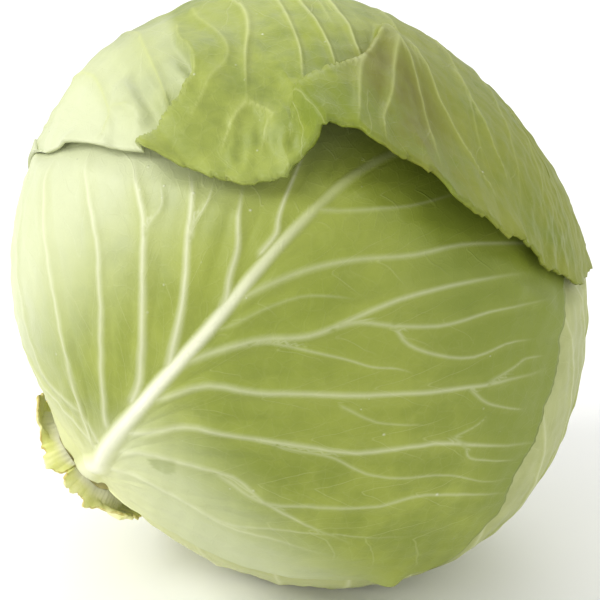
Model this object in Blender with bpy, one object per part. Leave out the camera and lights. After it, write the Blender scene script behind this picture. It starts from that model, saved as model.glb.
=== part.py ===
"""Green cabbage, one whole head lying on its side, in metres, +Z up.

The head is a slightly flattened ball round an axis that runs from the cut stem (low on the
left) to the crown (high on the right). Four wrapper leaves lie over a tight inner heart, and
the ragged bases of three torn leaves stand round the stem. The head rests on a small flat
spot of the under leaf, and the origin is the point of that spot under the centre of the head.

Every wrapper leaf is laid out in its own flat map, in degrees of arc round a blade centre:
x runs across the leaf and y towards the crown. Row 0 is the cut base, the last row is the
tip, and each row runs the way a side rib does: it leaves the midrib almost along it and bends
out to the margin.
"""
import math

import bpy
import numpy as np

HEAD_ACROSS = 0.180
HEAD_LONG = 0.162
CENTRE_HEIGHT = 0.0835
AXIS_RISE = 37.6
AXIS_TURN = 7.7
FRONT_RISE = 18.0

BLADE = 0.0009
TOP_LAYER = 0.0012
UNDER_LAYER = -0.0004
BACK_LAYER = -0.0008
HEART_LAYER = -0.0066
COVERED_BY_CROWN_LEAF = 0.0015
COVERED_BY_LEAF = 0.0020
FLOOR_STEP = 0.0015

ROWS = 36
RIB_ROWS = (8, 11, 14, 17, 20, 23, 26, 29, 32)
RIB_FOOT = 0.4
MIDRIB_HEIGHT = 0.0026
SIDE_RIB_HEIGHT = 0.0010
RIB_BEND = 0.25

NECK_RISE = 0.0050
STEM_RADIUS = 0.0134
STEM_END = 0.0885
STEM_ROOT = 0.0715
GAP = 0.0004


def unit(vector):
    return vector / np.linalg.norm(vector)


def head_axes():
    """Front, side and crown directions of the head in the world."""
    rise, turn, front = np.radians([AXIS_RISE, AXIS_TURN, FRONT_RISE])
    crown = np.array([math.cos(rise) * math.cos(turn), math.cos(rise) * math.sin(turn),
                      math.sin(rise)])
    viewer = np.array([0.0, -math.cos(front), math.sin(front)])
    face = unit(viewer - crown * crown.dot(viewer))
    return np.array([face, np.cross(crown, face), crown])


HEAD_AXES = head_axes()


def smooth(value):
    """0 below 0, 1 above 1 and an even ramp between."""
    t = np.clip(value, 0.0, 1.0)
    return t * t * (3.0 - 2.0 * t)


def direction(from_stem, longitude):
    """Unit direction at a polar angle from the stem and a longitude from the front."""
    t, p = np.radians(from_stem), np.radians(longitude)
    return np.array([math.sin(t) * math.cos(p), math.sin(t) * math.sin(p), -math.cos(t)])


def map_to_head(centre, x, y):
    """Directions of points of a leaf's flat map, with its centre at (from_stem, longitude)."""
    middle = direction(*centre)
    ahead = unit(np.array([0.0, 0.0, 1.0]) - middle * middle[2])
    across = np.cross(ahead, middle)
    reach = np.hypot(x, y)
    scale = np.where(reach > 1e-6, np.sin(np.radians(reach)) / np.maximum(reach, 1e-6),
                     math.pi / 180.0)
    return (np.multiply.outer(np.cos(np.radians(reach)), middle)
            + np.multiply.outer(x * scale, across) + np.multiply.outer(y * scale, ahead))


def head_radius(ways):
    """Radius of the head along unit directions: low swells, and a neck at the stem."""
    flat = (ways[..., 0] ** 2 + ways[..., 1] ** 2) / (HEAD_ACROSS / 2) ** 2
    ball = 1.0 / np.sqrt(flat + ways[..., 2] ** 2 / (HEAD_LONG / 2) ** 2)
    swell = (np.sin(4.6 * ways[..., 0] + 2.9 * ways[..., 2] + 0.6)
             + np.sin(5.2 * ways[..., 1] - 3.1 * ways[..., 2] + 2.0))
    from_stem = np.degrees(np.arccos(np.clip(-ways[..., 2], -1, 1)))
    return ball + 0.0006 * swell + NECK_RISE * smooth((18 - from_stem) / 8)


def to_world(points):
    """Head coordinates to world coordinates."""
    return points @ HEAD_AXES + np.array([0.0, 0.0, CENTRE_HEIGHT])


def lay_on_floor(points, lowest):
    """Press everything below a height flat, the way the head's weight does."""
    pressed = points.copy()
    pressed[..., 2] = np.maximum(pressed[..., 2], lowest)
    return pressed


def head_to_map(centre, ways):
    """Bearing (0 towards the crown, 90 to the right) and reach of directions from a centre."""
    middle = direction(*centre)
    ahead = unit(np.array([0.0, 0.0, 1.0]) - middle * middle[2])
    across = np.cross(ahead, middle)
    reach = np.degrees(np.arccos(np.clip(ways @ middle, -1, 1)))
    return np.degrees(np.arctan2(ways @ across, ways @ ahead)), reach


def curve_at(knots, at):
    """Smooth curve through (position, x, y) knots, read at given positions."""
    knots = np.array(knots, dtype=float)
    where, points = knots[:, 0], knots[:, 1:]
    slopes = np.gradient(points, where, axis=0)
    at = np.clip(np.asarray(at, dtype=float), where[0], where[-1])
    i = np.clip(np.searchsorted(where, at, side="right") - 1, 0, len(where) - 2)
    step = where[i + 1] - where[i]
    t = ((at - where[i]) / step)[..., None]
    step = step[..., None]
    start = (1 + 2 * t) * (1 - t) ** 2 * points[i] + t * (1 - t) ** 2 * step * slopes[i]
    end = t * t * (3 - 2 * t) * points[i + 1] + t * t * (t - 1) * step * slopes[i + 1]
    return start + end


def outline(leaf):
    """Reach of a leaf's margin by bearing, all the way round its blade centre."""
    at = np.linspace(0, ROWS, 120)
    spots = np.concatenate([curve_at(leaf["right"], at), curve_at(leaf["left"], at)])
    bearing = np.degrees(np.arctan2(spots[:, 0], spots[:, 1]))
    order = np.argsort(bearing)
    bearing, reach = bearing[order], np.hypot(spots[:, 0], spots[:, 1])[order]
    return (np.concatenate([bearing - 360, bearing, bearing + 360]), np.tile(reach, 3))


def inside(leaf, ways):
    """Degrees by which directions lie inside a leaf's margin."""
    bearing, reach = head_to_map(leaf["centre"], ways)
    return np.interp(bearing, *outline(leaf)) - reach


def covered(leaf, ways):
    """1 where a leaf lies over the given directions, 0 outside its margin."""
    return smooth((inside(leaf, ways) + 8) / 9)


def margin_teeth(rows, depth):
    """Uneven teeth of a margin, in degrees of arc, none at the base and the tip."""
    teeth = np.sin(5.3 * rows) + 0.6 * np.sin(11.9 * rows + 1.0)
    return depth * teeth * smooth(rows) * smooth((ROWS - rows) / 2)


def rib_row(leaf, margin, side, rows, steps):
    """Points of rows of side ribs: the midrib's crest, its foot, then even steps outwards."""
    crest = curve_at(leaf["midrib"], rows)
    ahead = (curve_at(leaf["midrib"], np.minimum(rows + 0.5, ROWS))
             - curve_at(leaf["midrib"], np.maximum(rows - 0.5, 0)))
    ahead = ahead / np.linalg.norm(ahead, axis=-1, keepdims=True)
    square = side * np.stack([ahead[:, 1], -ahead[:, 0]], axis=-1)
    at_tip = smooth((rows - ROWS + 2) / 2)[:, None]
    wide = (midrib_half_width(rows) * leaf["rib_scale"])[:, None]
    foot = crest + wide * ((1 - at_tip) * square + at_tip * ahead)
    end = curve_at(margin, rows)
    span = np.linalg.norm(end - foot, axis=-1, keepdims=True)
    end = end + (end - foot) / span * margin_teeth(rows, leaf["ragged"])[:, None]
    bend = foot + ahead * span * RIB_BEND
    t = ((np.sqrt(0.2025 + 2.2 * steps) - 0.45) / 1.1)[:, None]
    outwards = ((1 - t) ** 2 * foot[:, None] + 2 * t * (1 - t) * bend[:, None]
                + t * t * end[:, None])
    along = (wide + steps * span) / (wide + span)
    points = np.concatenate([crest[:, None], outwards], axis=1)
    return points, np.concatenate([np.zeros((len(rows), 1)), along], axis=1)


def leaf_rows(rib_rows):
    """Row positions: single rows at the base and tip, and three close rows at each side rib."""
    rows = list(range(int(rib_rows[0]) - 1))
    for rib in rib_rows:
        rows += [rib - RIB_FOOT, rib, rib + RIB_FOOT]
    return np.array(rows + [(rib_rows[-1] + ROWS + 1) / 2, ROWS], dtype=float)


def midrib_half_width(rows):
    """Half the midrib's width in degrees of arc, wide at the base and thin at the tip."""
    return np.interp(rows, [0, 8, 14, 20, 26, ROWS], [4.5, 3.6, 2.6, 1.9, 1.3, 0.9])


def leaf_map(leaf):
    """Flat map of a leaf: positions, row numbers and how far each point is towards the margin."""
    rows = leaf_rows(leaf["rib_rows"])
    steps = np.linspace(0.0, 1.0, leaf["columns"])
    left, left_along = rib_row(leaf, leaf["left"], -1, rows, steps)
    right, right_along = rib_row(leaf, leaf["right"], 1, rows, steps)
    spots = np.concatenate([left[:, :0:-1], right], axis=1)
    along = np.concatenate([-left_along[:, :0:-1], right_along], axis=1)
    return rows, spots, along


def rib_relief(leaf, rows, along):
    """Height of midrib and side ribs above the blade."""
    out = np.abs(along)
    fade = np.interp(rows, [0, 10, 20, 26, ROWS], [1.0, 0.85, 0.5, 0.25, 0.08])[:, None]
    middle = MIDRIB_HEIGHT * fade * (out == 0)
    is_rib = np.isin(rows, leaf["rib_rows"])[:, None]
    side = SIDE_RIB_HEIGHT * is_rib * np.clip(1.05 - out, 0, 1) * (out > 0)
    side = side * np.interp(rows, [0, 8, 26, ROWS], [1.0, 1.0, 0.7, 0.3])[:, None]
    return (middle + side) * leaf["rib_scale"]


def grid_faces(across, down):
    """Triangles of a grid `across` wide and `down` rows high, split across the short way."""
    faces = []
    for row in range(down - 1):
        for column in range(across - 1):
            a = row * across + column
            b, c, d = a + 1, a + across + 1, a + across
            if column >= (across - 1) // 2:
                faces += [(a, b, d), (b, c, d)]
            else:
                faces += [(a, b, c), (a, c, d)]
    return faces


def weld_tip(across, down):
    """Vertex of each grid point once the last row's two halves are one seam."""
    vertex = np.arange(across * down)
    last = (down - 1) * across
    for column in range(across // 2):
        vertex[last + column] = last + across - 1 - column
    return vertex


def vertex_normals(points, faces):
    """Unit normals of an open sheet."""
    corners = points[faces]
    flat = np.cross(corners[:, 1] - corners[:, 0], corners[:, 2] - corners[:, 0])
    normals = np.zeros_like(points)
    for corner in range(3):
        np.add.at(normals, faces[:, corner], flat)
    length = np.linalg.norm(normals, axis=1, keepdims=True)
    return normals / np.maximum(length, 1e-12)


def add_mesh(name, points, faces, colour, roughness=0.5):
    """One named object of one closed body, with its own material."""
    mesh = bpy.data.meshes.new(name)
    mesh.from_pydata([tuple(p) for p in points], [], [tuple(int(i) for i in f) for f in faces])
    mesh.update()
    body = bpy.data.objects.new(name, mesh)
    bpy.context.collection.objects.link(body)
    material = bpy.data.materials.new(name)
    material.use_nodes = True
    shader = material.node_tree.nodes["Principled BSDF"]
    shader.inputs["Base Color"].default_value = (*colour, 1.0)
    shader.inputs["Roughness"].default_value = roughness
    mesh.materials.append(material)
    return body


def used_only(points, faces):
    """Drop points that no face uses."""
    kept = np.unique(faces)
    renumber = np.full(len(points), -1)
    renumber[kept] = np.arange(len(kept))
    return points[kept], renumber[faces]


def blade_between(name, outer, inner, faces, rim, colour):
    """Close the outer and inner faces of a blade with a strip along its rim."""
    count = len(outer)
    walls = []
    for here, there in zip(rim, rim[1:] + rim[:1]):
        walls += [(here, there + count, there), (here, here + count, there + count)]
    back = [(a + count, c + count, b + count) for a, b, c in faces]
    points = np.concatenate([outer, inner])
    points, shell = used_only(points, np.array([tuple(f) for f in faces] + back + walls))
    return add_mesh(name, points, shell, colour)


def pressed_blade(outer, inner, lowest, thickness):
    """Outer and inner faces of a blade in the world, pressed flat where they meet the floor."""
    outer = lay_on_floor(to_world(outer), lowest)
    inner = lay_on_floor(to_world(inner), lowest + thickness)
    return outer, inner


def make_leaf(name, leaf):
    """A wrapper leaf: blade, ribs and margin, lifted off the head by the leaf's own rule."""
    rows, spots, along = leaf_map(leaf)
    down, across = along.shape
    x, y = spots[..., 0], spots[..., 1]
    ways = map_to_head(leaf["centre"], x, y)
    height = leaf["height"](x, y, rows[:, None], along, ways)
    sheet = ways * (head_radius(ways) + height)[..., None]
    vertex = weld_tip(across, down)
    faces = vertex[np.array(grid_faces(across, down))]
    sheet = sheet.reshape(-1, 3)
    normals = vertex_normals(sheet, faces)
    relief = rib_relief(leaf, rows, along) * leaf["bare"](ways)
    outer = sheet + normals * relief.reshape(-1, 1)
    inner = sheet - normals * BLADE
    outer, inner = pressed_blade(outer, inner, leaf["lowest"], BLADE)
    rim = [int(vertex[c]) for c in range(across)]
    rim += [int(vertex[r * across + across - 1]) for r in range(1, down)]
    rim += [int(vertex[r * across]) for r in range(down - 2, 0, -1)]
    return blade_between(name, outer, inner, faces, rim, leaf["colour"])


def distance_to_line(x, y, line):
    """Distance to a drawn line, the side it lies on (+ left of its heading), and how far along."""
    line = np.array(line, dtype=float)
    best = np.full(np.shape(x), 1e9)
    side = np.zeros(np.shape(x))
    travel = np.zeros(np.shape(x))
    count = len(line) - 1
    for i in range(count):
        step = line[i + 1] - line[i]
        t = np.clip(((x - line[i, 0]) * step[0] + (y - line[i, 1]) * step[1]) / step.dot(step), 0, 1)
        off_x, off_y = x - line[i, 0] - t * step[0], y - line[i, 1] - t * step[1]
        far = np.hypot(off_x, off_y)
        nearer = far < best
        best = np.where(nearer, far, best)
        side = np.where(nearer, np.sign(step[0] * off_y - step[1] * off_x), side)
        travel = np.where(nearer, (i + t) / count, travel)
    return best, side, travel


def fold(x, y, line, rise, dip, over_width, under_width):
    """A lapped pleat: high on the left of the line, dropping sharply to a dip on its right."""
    far, side, travel = distance_to_line(x, y, line)
    over = rise * np.exp(-(far / over_width) ** 2)
    under = rise * smooth(1 - far / 1.8) - dip * smooth(far / 1.8) * np.exp(
        -(far / under_width) ** 2)
    ends = smooth(travel * 2.5 + 0.05)
    return np.where(side >= 0, over, under) * ends


def ridge(x, y, line, rise, width):
    """A round ridge along a line, fading at both ends."""
    far, _, travel = distance_to_line(x, y, line)
    return rise * np.exp(-(far / width) ** 2) * smooth(travel * 3) * smooth((1.15 - travel) * 3)


def margin_wave(rows, along, rise, count):
    """Waves that grow towards the margin."""
    return rise * np.abs(along) ** 6 * np.sin(rows * count + np.sign(along) * 1.3)


def front_height(x, y, rows, along, ways):
    """The front leaf sinks a little where the crown leaf covers it, and its margin waves."""
    under = covered(CROWN_LEAF, ways)
    margin = 0.0006 * np.abs(along) ** 8 + margin_wave(rows, along, 0.0003, 1.9)
    return -COVERED_BY_CROWN_LEAF * under + margin * (1 - under)


def front_bare(ways):
    """Ribs stay flatter where another leaf presses on them."""
    return 1 - 0.7 * covered(CROWN_LEAF, ways)


FRONT_LEAF = {
    "centre": (88, -6),
    "ragged": 0.35,
    "columns": 9,
    "rib_rows": RIB_ROWS,
    "rib_scale": 1.0,
    "midrib": [(0, 5, -75), (4, 5, -67), (8, 6, -60), (11, 7, -54), (14, 6, -46), (17, 5, -36),
               (20, 4, -25), (23, 2, -8), (26, -2, 12), (29, -4, 30), (32, -1, 52), (36, 3, 80)],
    "right": [(0, 13, -71), (1, 20, -61), (2, 29, -52), (3, 40, -45), (4, 50, -38), (5, 60, -29),
              (6, 69, -20), (7, 75, -10), (8, 73, 2), (11, 66, 14), (14, 60, 27), (17, 53, 38), (20, 44, 50),
              (23, 39, 66), (26, 34, 80), (29, 27, 89), (32, 17, 95), (36, 3, 98)],
    "left": [(0, -4, -75), (2, -20, -72), (4, -42, -68), (6, -62, -60), (8, -75, -46),
             (11, -85, -22), (14, -86, 0), (17, -80, 22), (20, -68, 41), (23, -52, 56),
             (26, -38, 70), (29, -25, 82), (32, -12, 91), (36, 3, 98)],
    "height": front_height,
    "bare": front_bare,
    "lowest": 0.0,
    "colour": (0.42, 0.52, 0.16),
}

LEFT_PLEAT = [(70, 18), (78, 18), (85, 18), (91, 15), (95, 7), (98, 0)]
LEFT_RIPPLE = [(74, -2), (82, 1), (88, -2), (92, -8)]
RIGHT_PLEAT = [(47, 60), (56, 62), (66, 63), (76, 60), (84, 54), (94, 42)]
LOBE_CREST = [(94, 42), (99, 37), (101, 33), (106, 25)]


def crown_lift(x, y, ways):
    """How far the crown leaf stands off the front leaf towards its torn front edge."""
    edge = np.interp(np.degrees(np.arctan2(x, y)),
                     [-40, -2, 9, 22, 30, 38, 50, 60, 65.5, 67.5, 74, 84, 100, 112, 130],
                     [1.0, 2.0, 3.0, 5.0, 7.0, 9.5, 11.0, 10.0, 10.0, 4.5, 3.0, 2.4, 2.4, 3.0, 1.0])
    run = 6 + 2.2 * edge
    near = np.clip(1 - inside(CROWN_LEAF, ways) / run, 0, 1.1)
    return 0.001 * edge * near ** 2


def crown_height(x, y, rows, along, ways):
    """The crown leaf: pleats run up to its front edge, and its right lobe stands well off."""
    pleats = (fold(x, y, LEFT_PLEAT, 0.0024, 0.0004, 9, 5)
              + fold(x, y, RIGHT_PLEAT, 0.0034, 0.0005, 12, 6)
              + ridge(x, y, LEFT_RIPPLE, 0.0014, 3.0)
              + ridge(x, y, LOBE_CREST, 0.0030, 4.0))
    wave = margin_wave(rows, along, 0.0005, 2.3)
    over = TOP_LAYER * smooth((0.951 + ways[..., 2]) / 0.068)
    return over + crown_lift(x, y, ways) + pleats + wave


def base_bare(ways):
    """Ribs stay flatter where the torn leaves stand on them."""
    return 0.4 + 0.6 * smooth((-0.94 - ways[..., 2]) / -0.06)


def crown_bare(ways):
    return base_bare(ways)


CROWN_LEAF = {
    "centre": (95, -130),
    "ragged": 0.7,
    "columns": 11,
    "rib_rows": RIB_ROWS,
    "rib_scale": 0.85,
    "midrib": [(0, 0, -79), (4, 0, -72), (8, 0, -60), (11, 0, -48), (14, 0, -33), (17, 1, -16),
               (20, 3, 5), (24, 6, 30), (28, 10, 55), (32, 14, 80), (36, 20, 105)],
    "right": [(0, 9, -80), (1, 20, -78), (2, 30, -73), (3, 38, -65), (4, 46, -55), (5, 54, -45),
              (6, 63, -35), (7, 73, -25), (8, 83, -15), (10, 93, -6), (11, 98, 0), (13, 105, 9),
              (14, 108, 16), (15, 109, 24), (16, 107, 34), (17, 101, 43), (18, 98, 50),
              (20, 96, 63), (22, 92, 76), (23, 89, 85), (25, 80, 98), (26, 74, 104),
              (29, 54, 117), (32, 35, 124), (34, 28, 126), (36, 22, 125)],
    "left": [(0, -8, -80), (2, -22, -77), (4, -36, -67), (6, -48, -55), (8, -56, -40),
             (11, -62, -20), (14, -63, 4), (17, -61, 26), (20, -57, 46), (23, -52, 64),
             (26, -45, 82), (29, -36, 100), (32, -22, 114), (34, -2, 123), (36, 22, 125)],
    "height": crown_height,
    "bare": crown_bare,
    "lowest": 0.0,
    "colour": (0.36, 0.47, 0.13),
}


def under_height(x, y, rows, along, ways):
    """The under leaf sinks beneath the front leaf and the crown leaf."""
    sunk = (COVERED_BY_LEAF * covered(FRONT_LEAF, ways)
            + COVERED_BY_CROWN_LEAF * covered(CROWN_LEAF, ways))
    return UNDER_LAYER - sunk + margin_wave(rows, along, 0.0002, 1.7)


def under_bare(ways):
    over = np.maximum(covered(FRONT_LEAF, ways), covered(CROWN_LEAF, ways))
    return base_bare(ways) * (1 - 0.75 * over)


UNDER_LEAF = {
    "centre": (90, 82),
    "ragged": 0.4,
    "columns": 8,
    "rib_rows": RIB_ROWS,
    "rib_scale": 0.8,
    "midrib": [(0, 0, -75), (9, 1, -55), (18, 2, -25), (27, 0, 20), (36, -2, 62)],
    "right": [(0, 9, -75), (3, 24, -72), (6, 42, -62), (9, 56, -45), (12, 64, -25), (15, 67, -4),
              (18, 66, 15), (21, 61, 32), (24, 53, 47), (27, 43, 60), (30, 31, 71), (33, 16, 80),
              (36, -2, 84)],
    "left": [(0, -8, -75), (3, -22, -74), (6, -40, -66), (9, -56, -50), (12, -66, -30),
             (15, -69, -8), (18, -67, 14), (21, -61, 33), (24, -53, 49), (27, -42, 63),
             (30, -30, 73), (33, -16, 81), (36, -2, 84)],
    "height": under_height,
    "bare": under_bare,
    "lowest": 0.0,
    "colour": (0.55, 0.60, 0.28),
}


def back_height(x, y, rows, along, ways):
    """The back leaf sinks beneath all the other wrapper leaves."""
    sunk = (COVERED_BY_LEAF * (covered(FRONT_LEAF, ways) + covered(UNDER_LEAF, ways))
            + COVERED_BY_CROWN_LEAF * covered(CROWN_LEAF, ways))
    return BACK_LAYER - sunk


def back_bare(ways):
    over = np.maximum(covered(UNDER_LEAF, ways), covered(CROWN_LEAF, ways))
    return base_bare(ways) * (1 - 0.75 * np.maximum(over, covered(FRONT_LEAF, ways)))


BACK_LEAF = {
    "centre": (92, 168),
    "ragged": 0.4,
    "columns": 7,
    "rib_rows": RIB_ROWS,
    "rib_scale": 0.8,
    "midrib": [(0, 0, -77), (9, 1, -57), (18, 0, -27), (27, -2, 18), (36, 0, 60)],
    "right": [(0, 8, -77), (3, 22, -76), (6, 42, -66), (9, 56, -50), (12, 66, -30), (15, 71, -6),
              (18, 69, 16), (21, 63, 36), (24, 53, 52), (27, 42, 64), (30, 30, 73), (33, 16, 80),
              (36, 1, 83)],
    "left": [(0, -8, -77), (3, -22, -75), (6, -42, -67), (9, -57, -51), (12, -67, -30),
             (15, -72, -6), (18, -70, 17), (21, -63, 37), (24, -53, 53), (27, -42, 65),
             (30, -30, 74), (33, -15, 80), (36, 1, 83)],
    "height": back_height,
    "bare": back_bare,
    "lowest": FLOOR_STEP,
    "colour": (0.50, 0.58, 0.22),
}

LAPS = ((-60, 70), (60, 75), (180, 65), (120, 110), (0, 120), (240, 115))


def heart_relief(ways):
    """Lapped edges of the heart's own leaves, and the ribs that fan over it from the stem."""
    lap = np.zeros(ways.shape[:-1])
    for longitude, from_stem in LAPS:
        facing = ways @ direction(from_stem, longitude)
        lap += 0.0005 * smooth((facing - 0.45) / 0.10)
    around = np.arctan2(ways[..., 1], ways[..., 0])
    rib = 0.0005 * np.maximum(np.cos(9 * around + 3 * ways[..., 2]), 0) ** 4
    return lap - 0.0016 + rib * (1 - ways[..., 2] ** 2)


def make_heart():
    """The tight inner head: a dense ball, cut flat at the stem."""
    rings, around = 20, 30
    polar = np.linspace(0, 180, rings + 1)[1:-1]
    turn = np.arange(around) * 360.0 / around
    ways = np.array([[direction(p, t) for t in turn] for p in polar])
    ball = ways * (head_radius(ways) + HEART_LAYER + heart_relief(ways))[..., None]
    ends = np.array([[0, 0, -HEAD_LONG / 2 - HEART_LAYER], [0, 0, HEAD_LONG / 2 + HEART_LAYER]])
    points = np.concatenate([ball.reshape(-1, 3), ends])
    points[:, 2] = np.maximum(points[:, 2], -STEM_ROOT)
    points = lay_on_floor(to_world(points), 2 * FLOOR_STEP)
    faces = []
    for ring in range(len(polar) - 1):
        for spot in range(around):
            a, b = ring * around + spot, ring * around + (spot + 1) % around
            faces += [(a, b, b + around), (a, b + around, a + around)]
    stem_pole, crown_pole = len(points) - 2, len(points) - 1
    last = (len(polar) - 1) * around
    for spot in range(around):
        after = (spot + 1) % around
        faces += [(stem_pole, after, spot), (last + spot, last + after, crown_pole)]
    return add_mesh("heart", points, faces, (0.62, 0.68, 0.38))


def make_stem():
    """The cut stub of the stem, a little out of round, with a slightly hollow cut face."""
    sides = 20
    turn = np.arange(sides) * 2 * math.pi / sides
    round_off = 1 + 0.04 * np.cos(2 * turn + 0.5) + 0.02 * np.cos(5 * turn)
    levels = ((STEM_ROOT + GAP, 1.0), (STEM_END - 0.0010, 0.97), (STEM_END, 0.90),
              (STEM_END - 0.0004, 0.62))
    points = []
    for depth, width in levels:
        radius = STEM_RADIUS * width * round_off
        points += [(r * math.cos(t), r * math.sin(t), -depth) for r, t in zip(radius, turn)]
    points += [(0, 0, -STEM_ROOT - GAP), (0, 0, -STEM_END + 0.0008)]
    faces = []
    for level in range(len(levels) - 1):
        for spot in range(sides):
            a, b = level * sides + spot, level * sides + (spot + 1) % sides
            faces += [(a, b + sides, b), (a, a + sides, b + sides)]
    root, cut = len(points) - 2, len(points) - 1
    last = (len(levels) - 1) * sides
    for spot in range(sides):
        after = (spot + 1) % sides
        faces += [(root, spot, after), (cut, last + after, last + spot)]
    return add_mesh("stem", to_world(np.array(points)), faces, (0.72, 0.70, 0.46))


TORN_LEAVES = (
    ("torn_leaf_1", -152, -38, 0.0),
    ("torn_leaf_2", 36, 118, 1.7),
    ("torn_leaf_3", 128, 200, 3.1),
)


def make_torn_leaf(name, first, last, phase):
    """The base of a leaf torn off near the stem: a short ruffled frill with a ragged edge."""
    around, out = 22, 4
    u = np.linspace(0, 1, around)[None, :]
    v = np.linspace(0, 1, out)[:, None]
    end = np.clip(np.minimum(u, 1 - u) * 6, 0, 1) ** 0.5
    ragged = 1 + 0.10 * np.sin(15 * u + phase) + 0.10 * np.sin(37 * u + 2 * phase)
    radius = 0.0147 + 0.0095 * v * ragged * (0.45 + 0.55 * end)
    turn = np.radians(first + (last - first) * u) + 0 * v
    ruffle = 0.0012 * v * np.sin(19 * u + phase) + 0.0006 * v * np.sin(47 * u)
    stand = 0.0048 - 0.0012 * v + ruffle
    ways = np.stack([radius * np.cos(turn), radius * np.sin(turn),
                     -np.sqrt((HEAD_LONG / 2) ** 2 - radius ** 2) + 0 * turn], axis=-1)
    ways = ways / np.linalg.norm(ways, axis=-1, keepdims=True)
    sheet = (ways * (head_radius(ways) + stand)[..., None]).reshape(-1, 3)
    faces = np.array([(a, c, b) for a, b, c in grid_faces(around, out)])
    normals = vertex_normals(sheet, faces)
    thick = 0.0012 - 0.0004 * np.repeat(np.linspace(0, 1, out), around)[:, None]
    outer = to_world(sheet + normals * thick / 2)
    inner = to_world(sheet - normals * thick / 2)
    rim = [c for c in range(around - 1, -1, -1)]
    rim += [r * around for r in range(1, out)]
    rim += [(out - 1) * around + c for c in range(1, around)]
    rim += [r * around + around - 1 for r in range(out - 2, 0, -1)]
    return blade_between(name, outer, inner, faces, rim, (0.62, 0.58, 0.20))


def build():
    for leftover in list(bpy.data.objects):
        bpy.data.objects.remove(leftover, do_unlink=True)
    make_heart()
    make_stem()
    make_leaf("front_leaf", FRONT_LEAF)
    make_leaf("crown_leaf", CROWN_LEAF)
    make_leaf("under_leaf", UNDER_LEAF)
    make_leaf("back_leaf", BACK_LEAF)
    for name, first, last, phase in TORN_LEAVES:
        make_torn_leaf(name, first, last, phase)


build()
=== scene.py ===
# %% [markdown]
# # A head of green cabbage
#
# The real object is a whole head lying on its side: wrapper leaves with a pale fan of ribs,
# lapped over a tight heart, with a cut stem low on the left. A leaf is a thin sheet that
# follows the ball of the head, so it could be sculpted, draped or worked out as a formula.
# A formula is used here: a leaf is a function of two parameters on a grid, so every vertex
# knows where on its leaf it is, and both relief and colour can follow the ribs.

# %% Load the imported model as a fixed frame
import math
import bpy
import numpy as np
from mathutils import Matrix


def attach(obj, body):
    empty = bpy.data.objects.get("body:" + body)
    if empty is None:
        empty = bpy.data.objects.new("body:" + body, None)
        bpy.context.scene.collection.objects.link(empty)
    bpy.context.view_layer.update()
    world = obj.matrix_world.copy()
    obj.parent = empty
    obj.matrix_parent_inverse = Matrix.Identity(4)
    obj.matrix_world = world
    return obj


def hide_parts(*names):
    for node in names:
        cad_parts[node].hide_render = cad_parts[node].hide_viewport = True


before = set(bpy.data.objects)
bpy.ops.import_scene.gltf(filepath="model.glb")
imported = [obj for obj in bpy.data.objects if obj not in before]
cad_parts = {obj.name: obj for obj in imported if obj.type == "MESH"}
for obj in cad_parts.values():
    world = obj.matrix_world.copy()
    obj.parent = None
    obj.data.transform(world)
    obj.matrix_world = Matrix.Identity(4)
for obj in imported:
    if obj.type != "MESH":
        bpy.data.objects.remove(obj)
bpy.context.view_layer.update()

# %% [markdown]
# ## The head's own axes
#
# Everything on a cabbage is placed round the axis from the stem to the crown. The head leans
# over on its side, so three unit vectors say where its front, its side and its crown point,
# and one matrix product turns head coordinates into world coordinates.

# %% Sizes and axes of the head
MM = 0.001
HEAD_ACROSS = 180 * MM
HEAD_LONG = 162 * MM
CENTRE_HEIGHT = 83.5 * MM
AXIS_RISE, AXIS_TURN, FRONT_RISE = 37.6, 7.7, 18.0


def unit(vector):
    """A vector divided by its own length."""
    return vector / np.linalg.norm(vector)


def head_axes():
    """Front, side and crown: the crown from its rise and turn, the front square to it."""
    rise, turn, front = np.radians([AXIS_RISE, AXIS_TURN, FRONT_RISE])
    crown = np.array([math.cos(rise) * math.cos(turn), math.cos(rise) * math.sin(turn),
                      math.sin(rise)])
    viewer = np.array([0.0, -math.cos(front), math.sin(front)])
    face = unit(viewer - crown * crown.dot(viewer))
    return np.array([face, np.cross(crown, face), crown])


HEAD_AXES = head_axes()


def to_world(points):
    """Head coordinates times the three axes, raised to the height of the head's centre."""
    return points @ HEAD_AXES + np.array([0.0, 0.0, CENTRE_HEIGHT])


print("stem to crown axis", HEAD_AXES[2].round(3))

# %% [markdown]
# ## The ball of the head
#
# A cabbage is never a true ball. Here it is an ellipsoid, a little shorter along the stem,
# with low swells and a neck where the leaf bases run onto the stem. A direction from the
# centre is enough to ask how far out the surface lies.

# %% Directions and radius
NECK_RISE = 5.0 * MM
SWELL = 0.6 * MM


def smooth(value):
    """3t^2 - 2t^3 of the value held between 0 and 1: an even ramp with flat ends."""
    t = np.clip(value, 0.0, 1.0)
    return t * t * (3.0 - 2.0 * t)


def direction(from_stem, longitude):
    """Unit direction from two angles: sin a cos b to the front, sin a sin b aside, -cos a up."""
    t, p = np.radians(from_stem), np.radians(longitude)
    return np.array([math.sin(t) * math.cos(p), math.sin(t) * math.sin(p), -math.cos(t)])


def head_radius(ways):
    """1 / sqrt(across^2/a^2 + along^2/c^2), plus two low sine swells and the neck's ramp."""
    flat = (ways[..., 0] ** 2 + ways[..., 1] ** 2) / (HEAD_ACROSS / 2) ** 2
    ball = 1.0 / np.sqrt(flat + ways[..., 2] ** 2 / (HEAD_LONG / 2) ** 2)
    swell = (np.sin(4.6 * ways[..., 0] + 2.9 * ways[..., 2] + 0.6)
             + np.sin(5.2 * ways[..., 1] - 3.1 * ways[..., 2] + 2.0))
    from_stem = np.degrees(np.arccos(np.clip(-ways[..., 2], -1, 1)))
    return ball + SWELL * swell + NECK_RISE * smooth((18 - from_stem) / 8)


print("radius at the equator, mm", round(float(head_radius(direction(90, 0))) / MM, 1))

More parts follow.
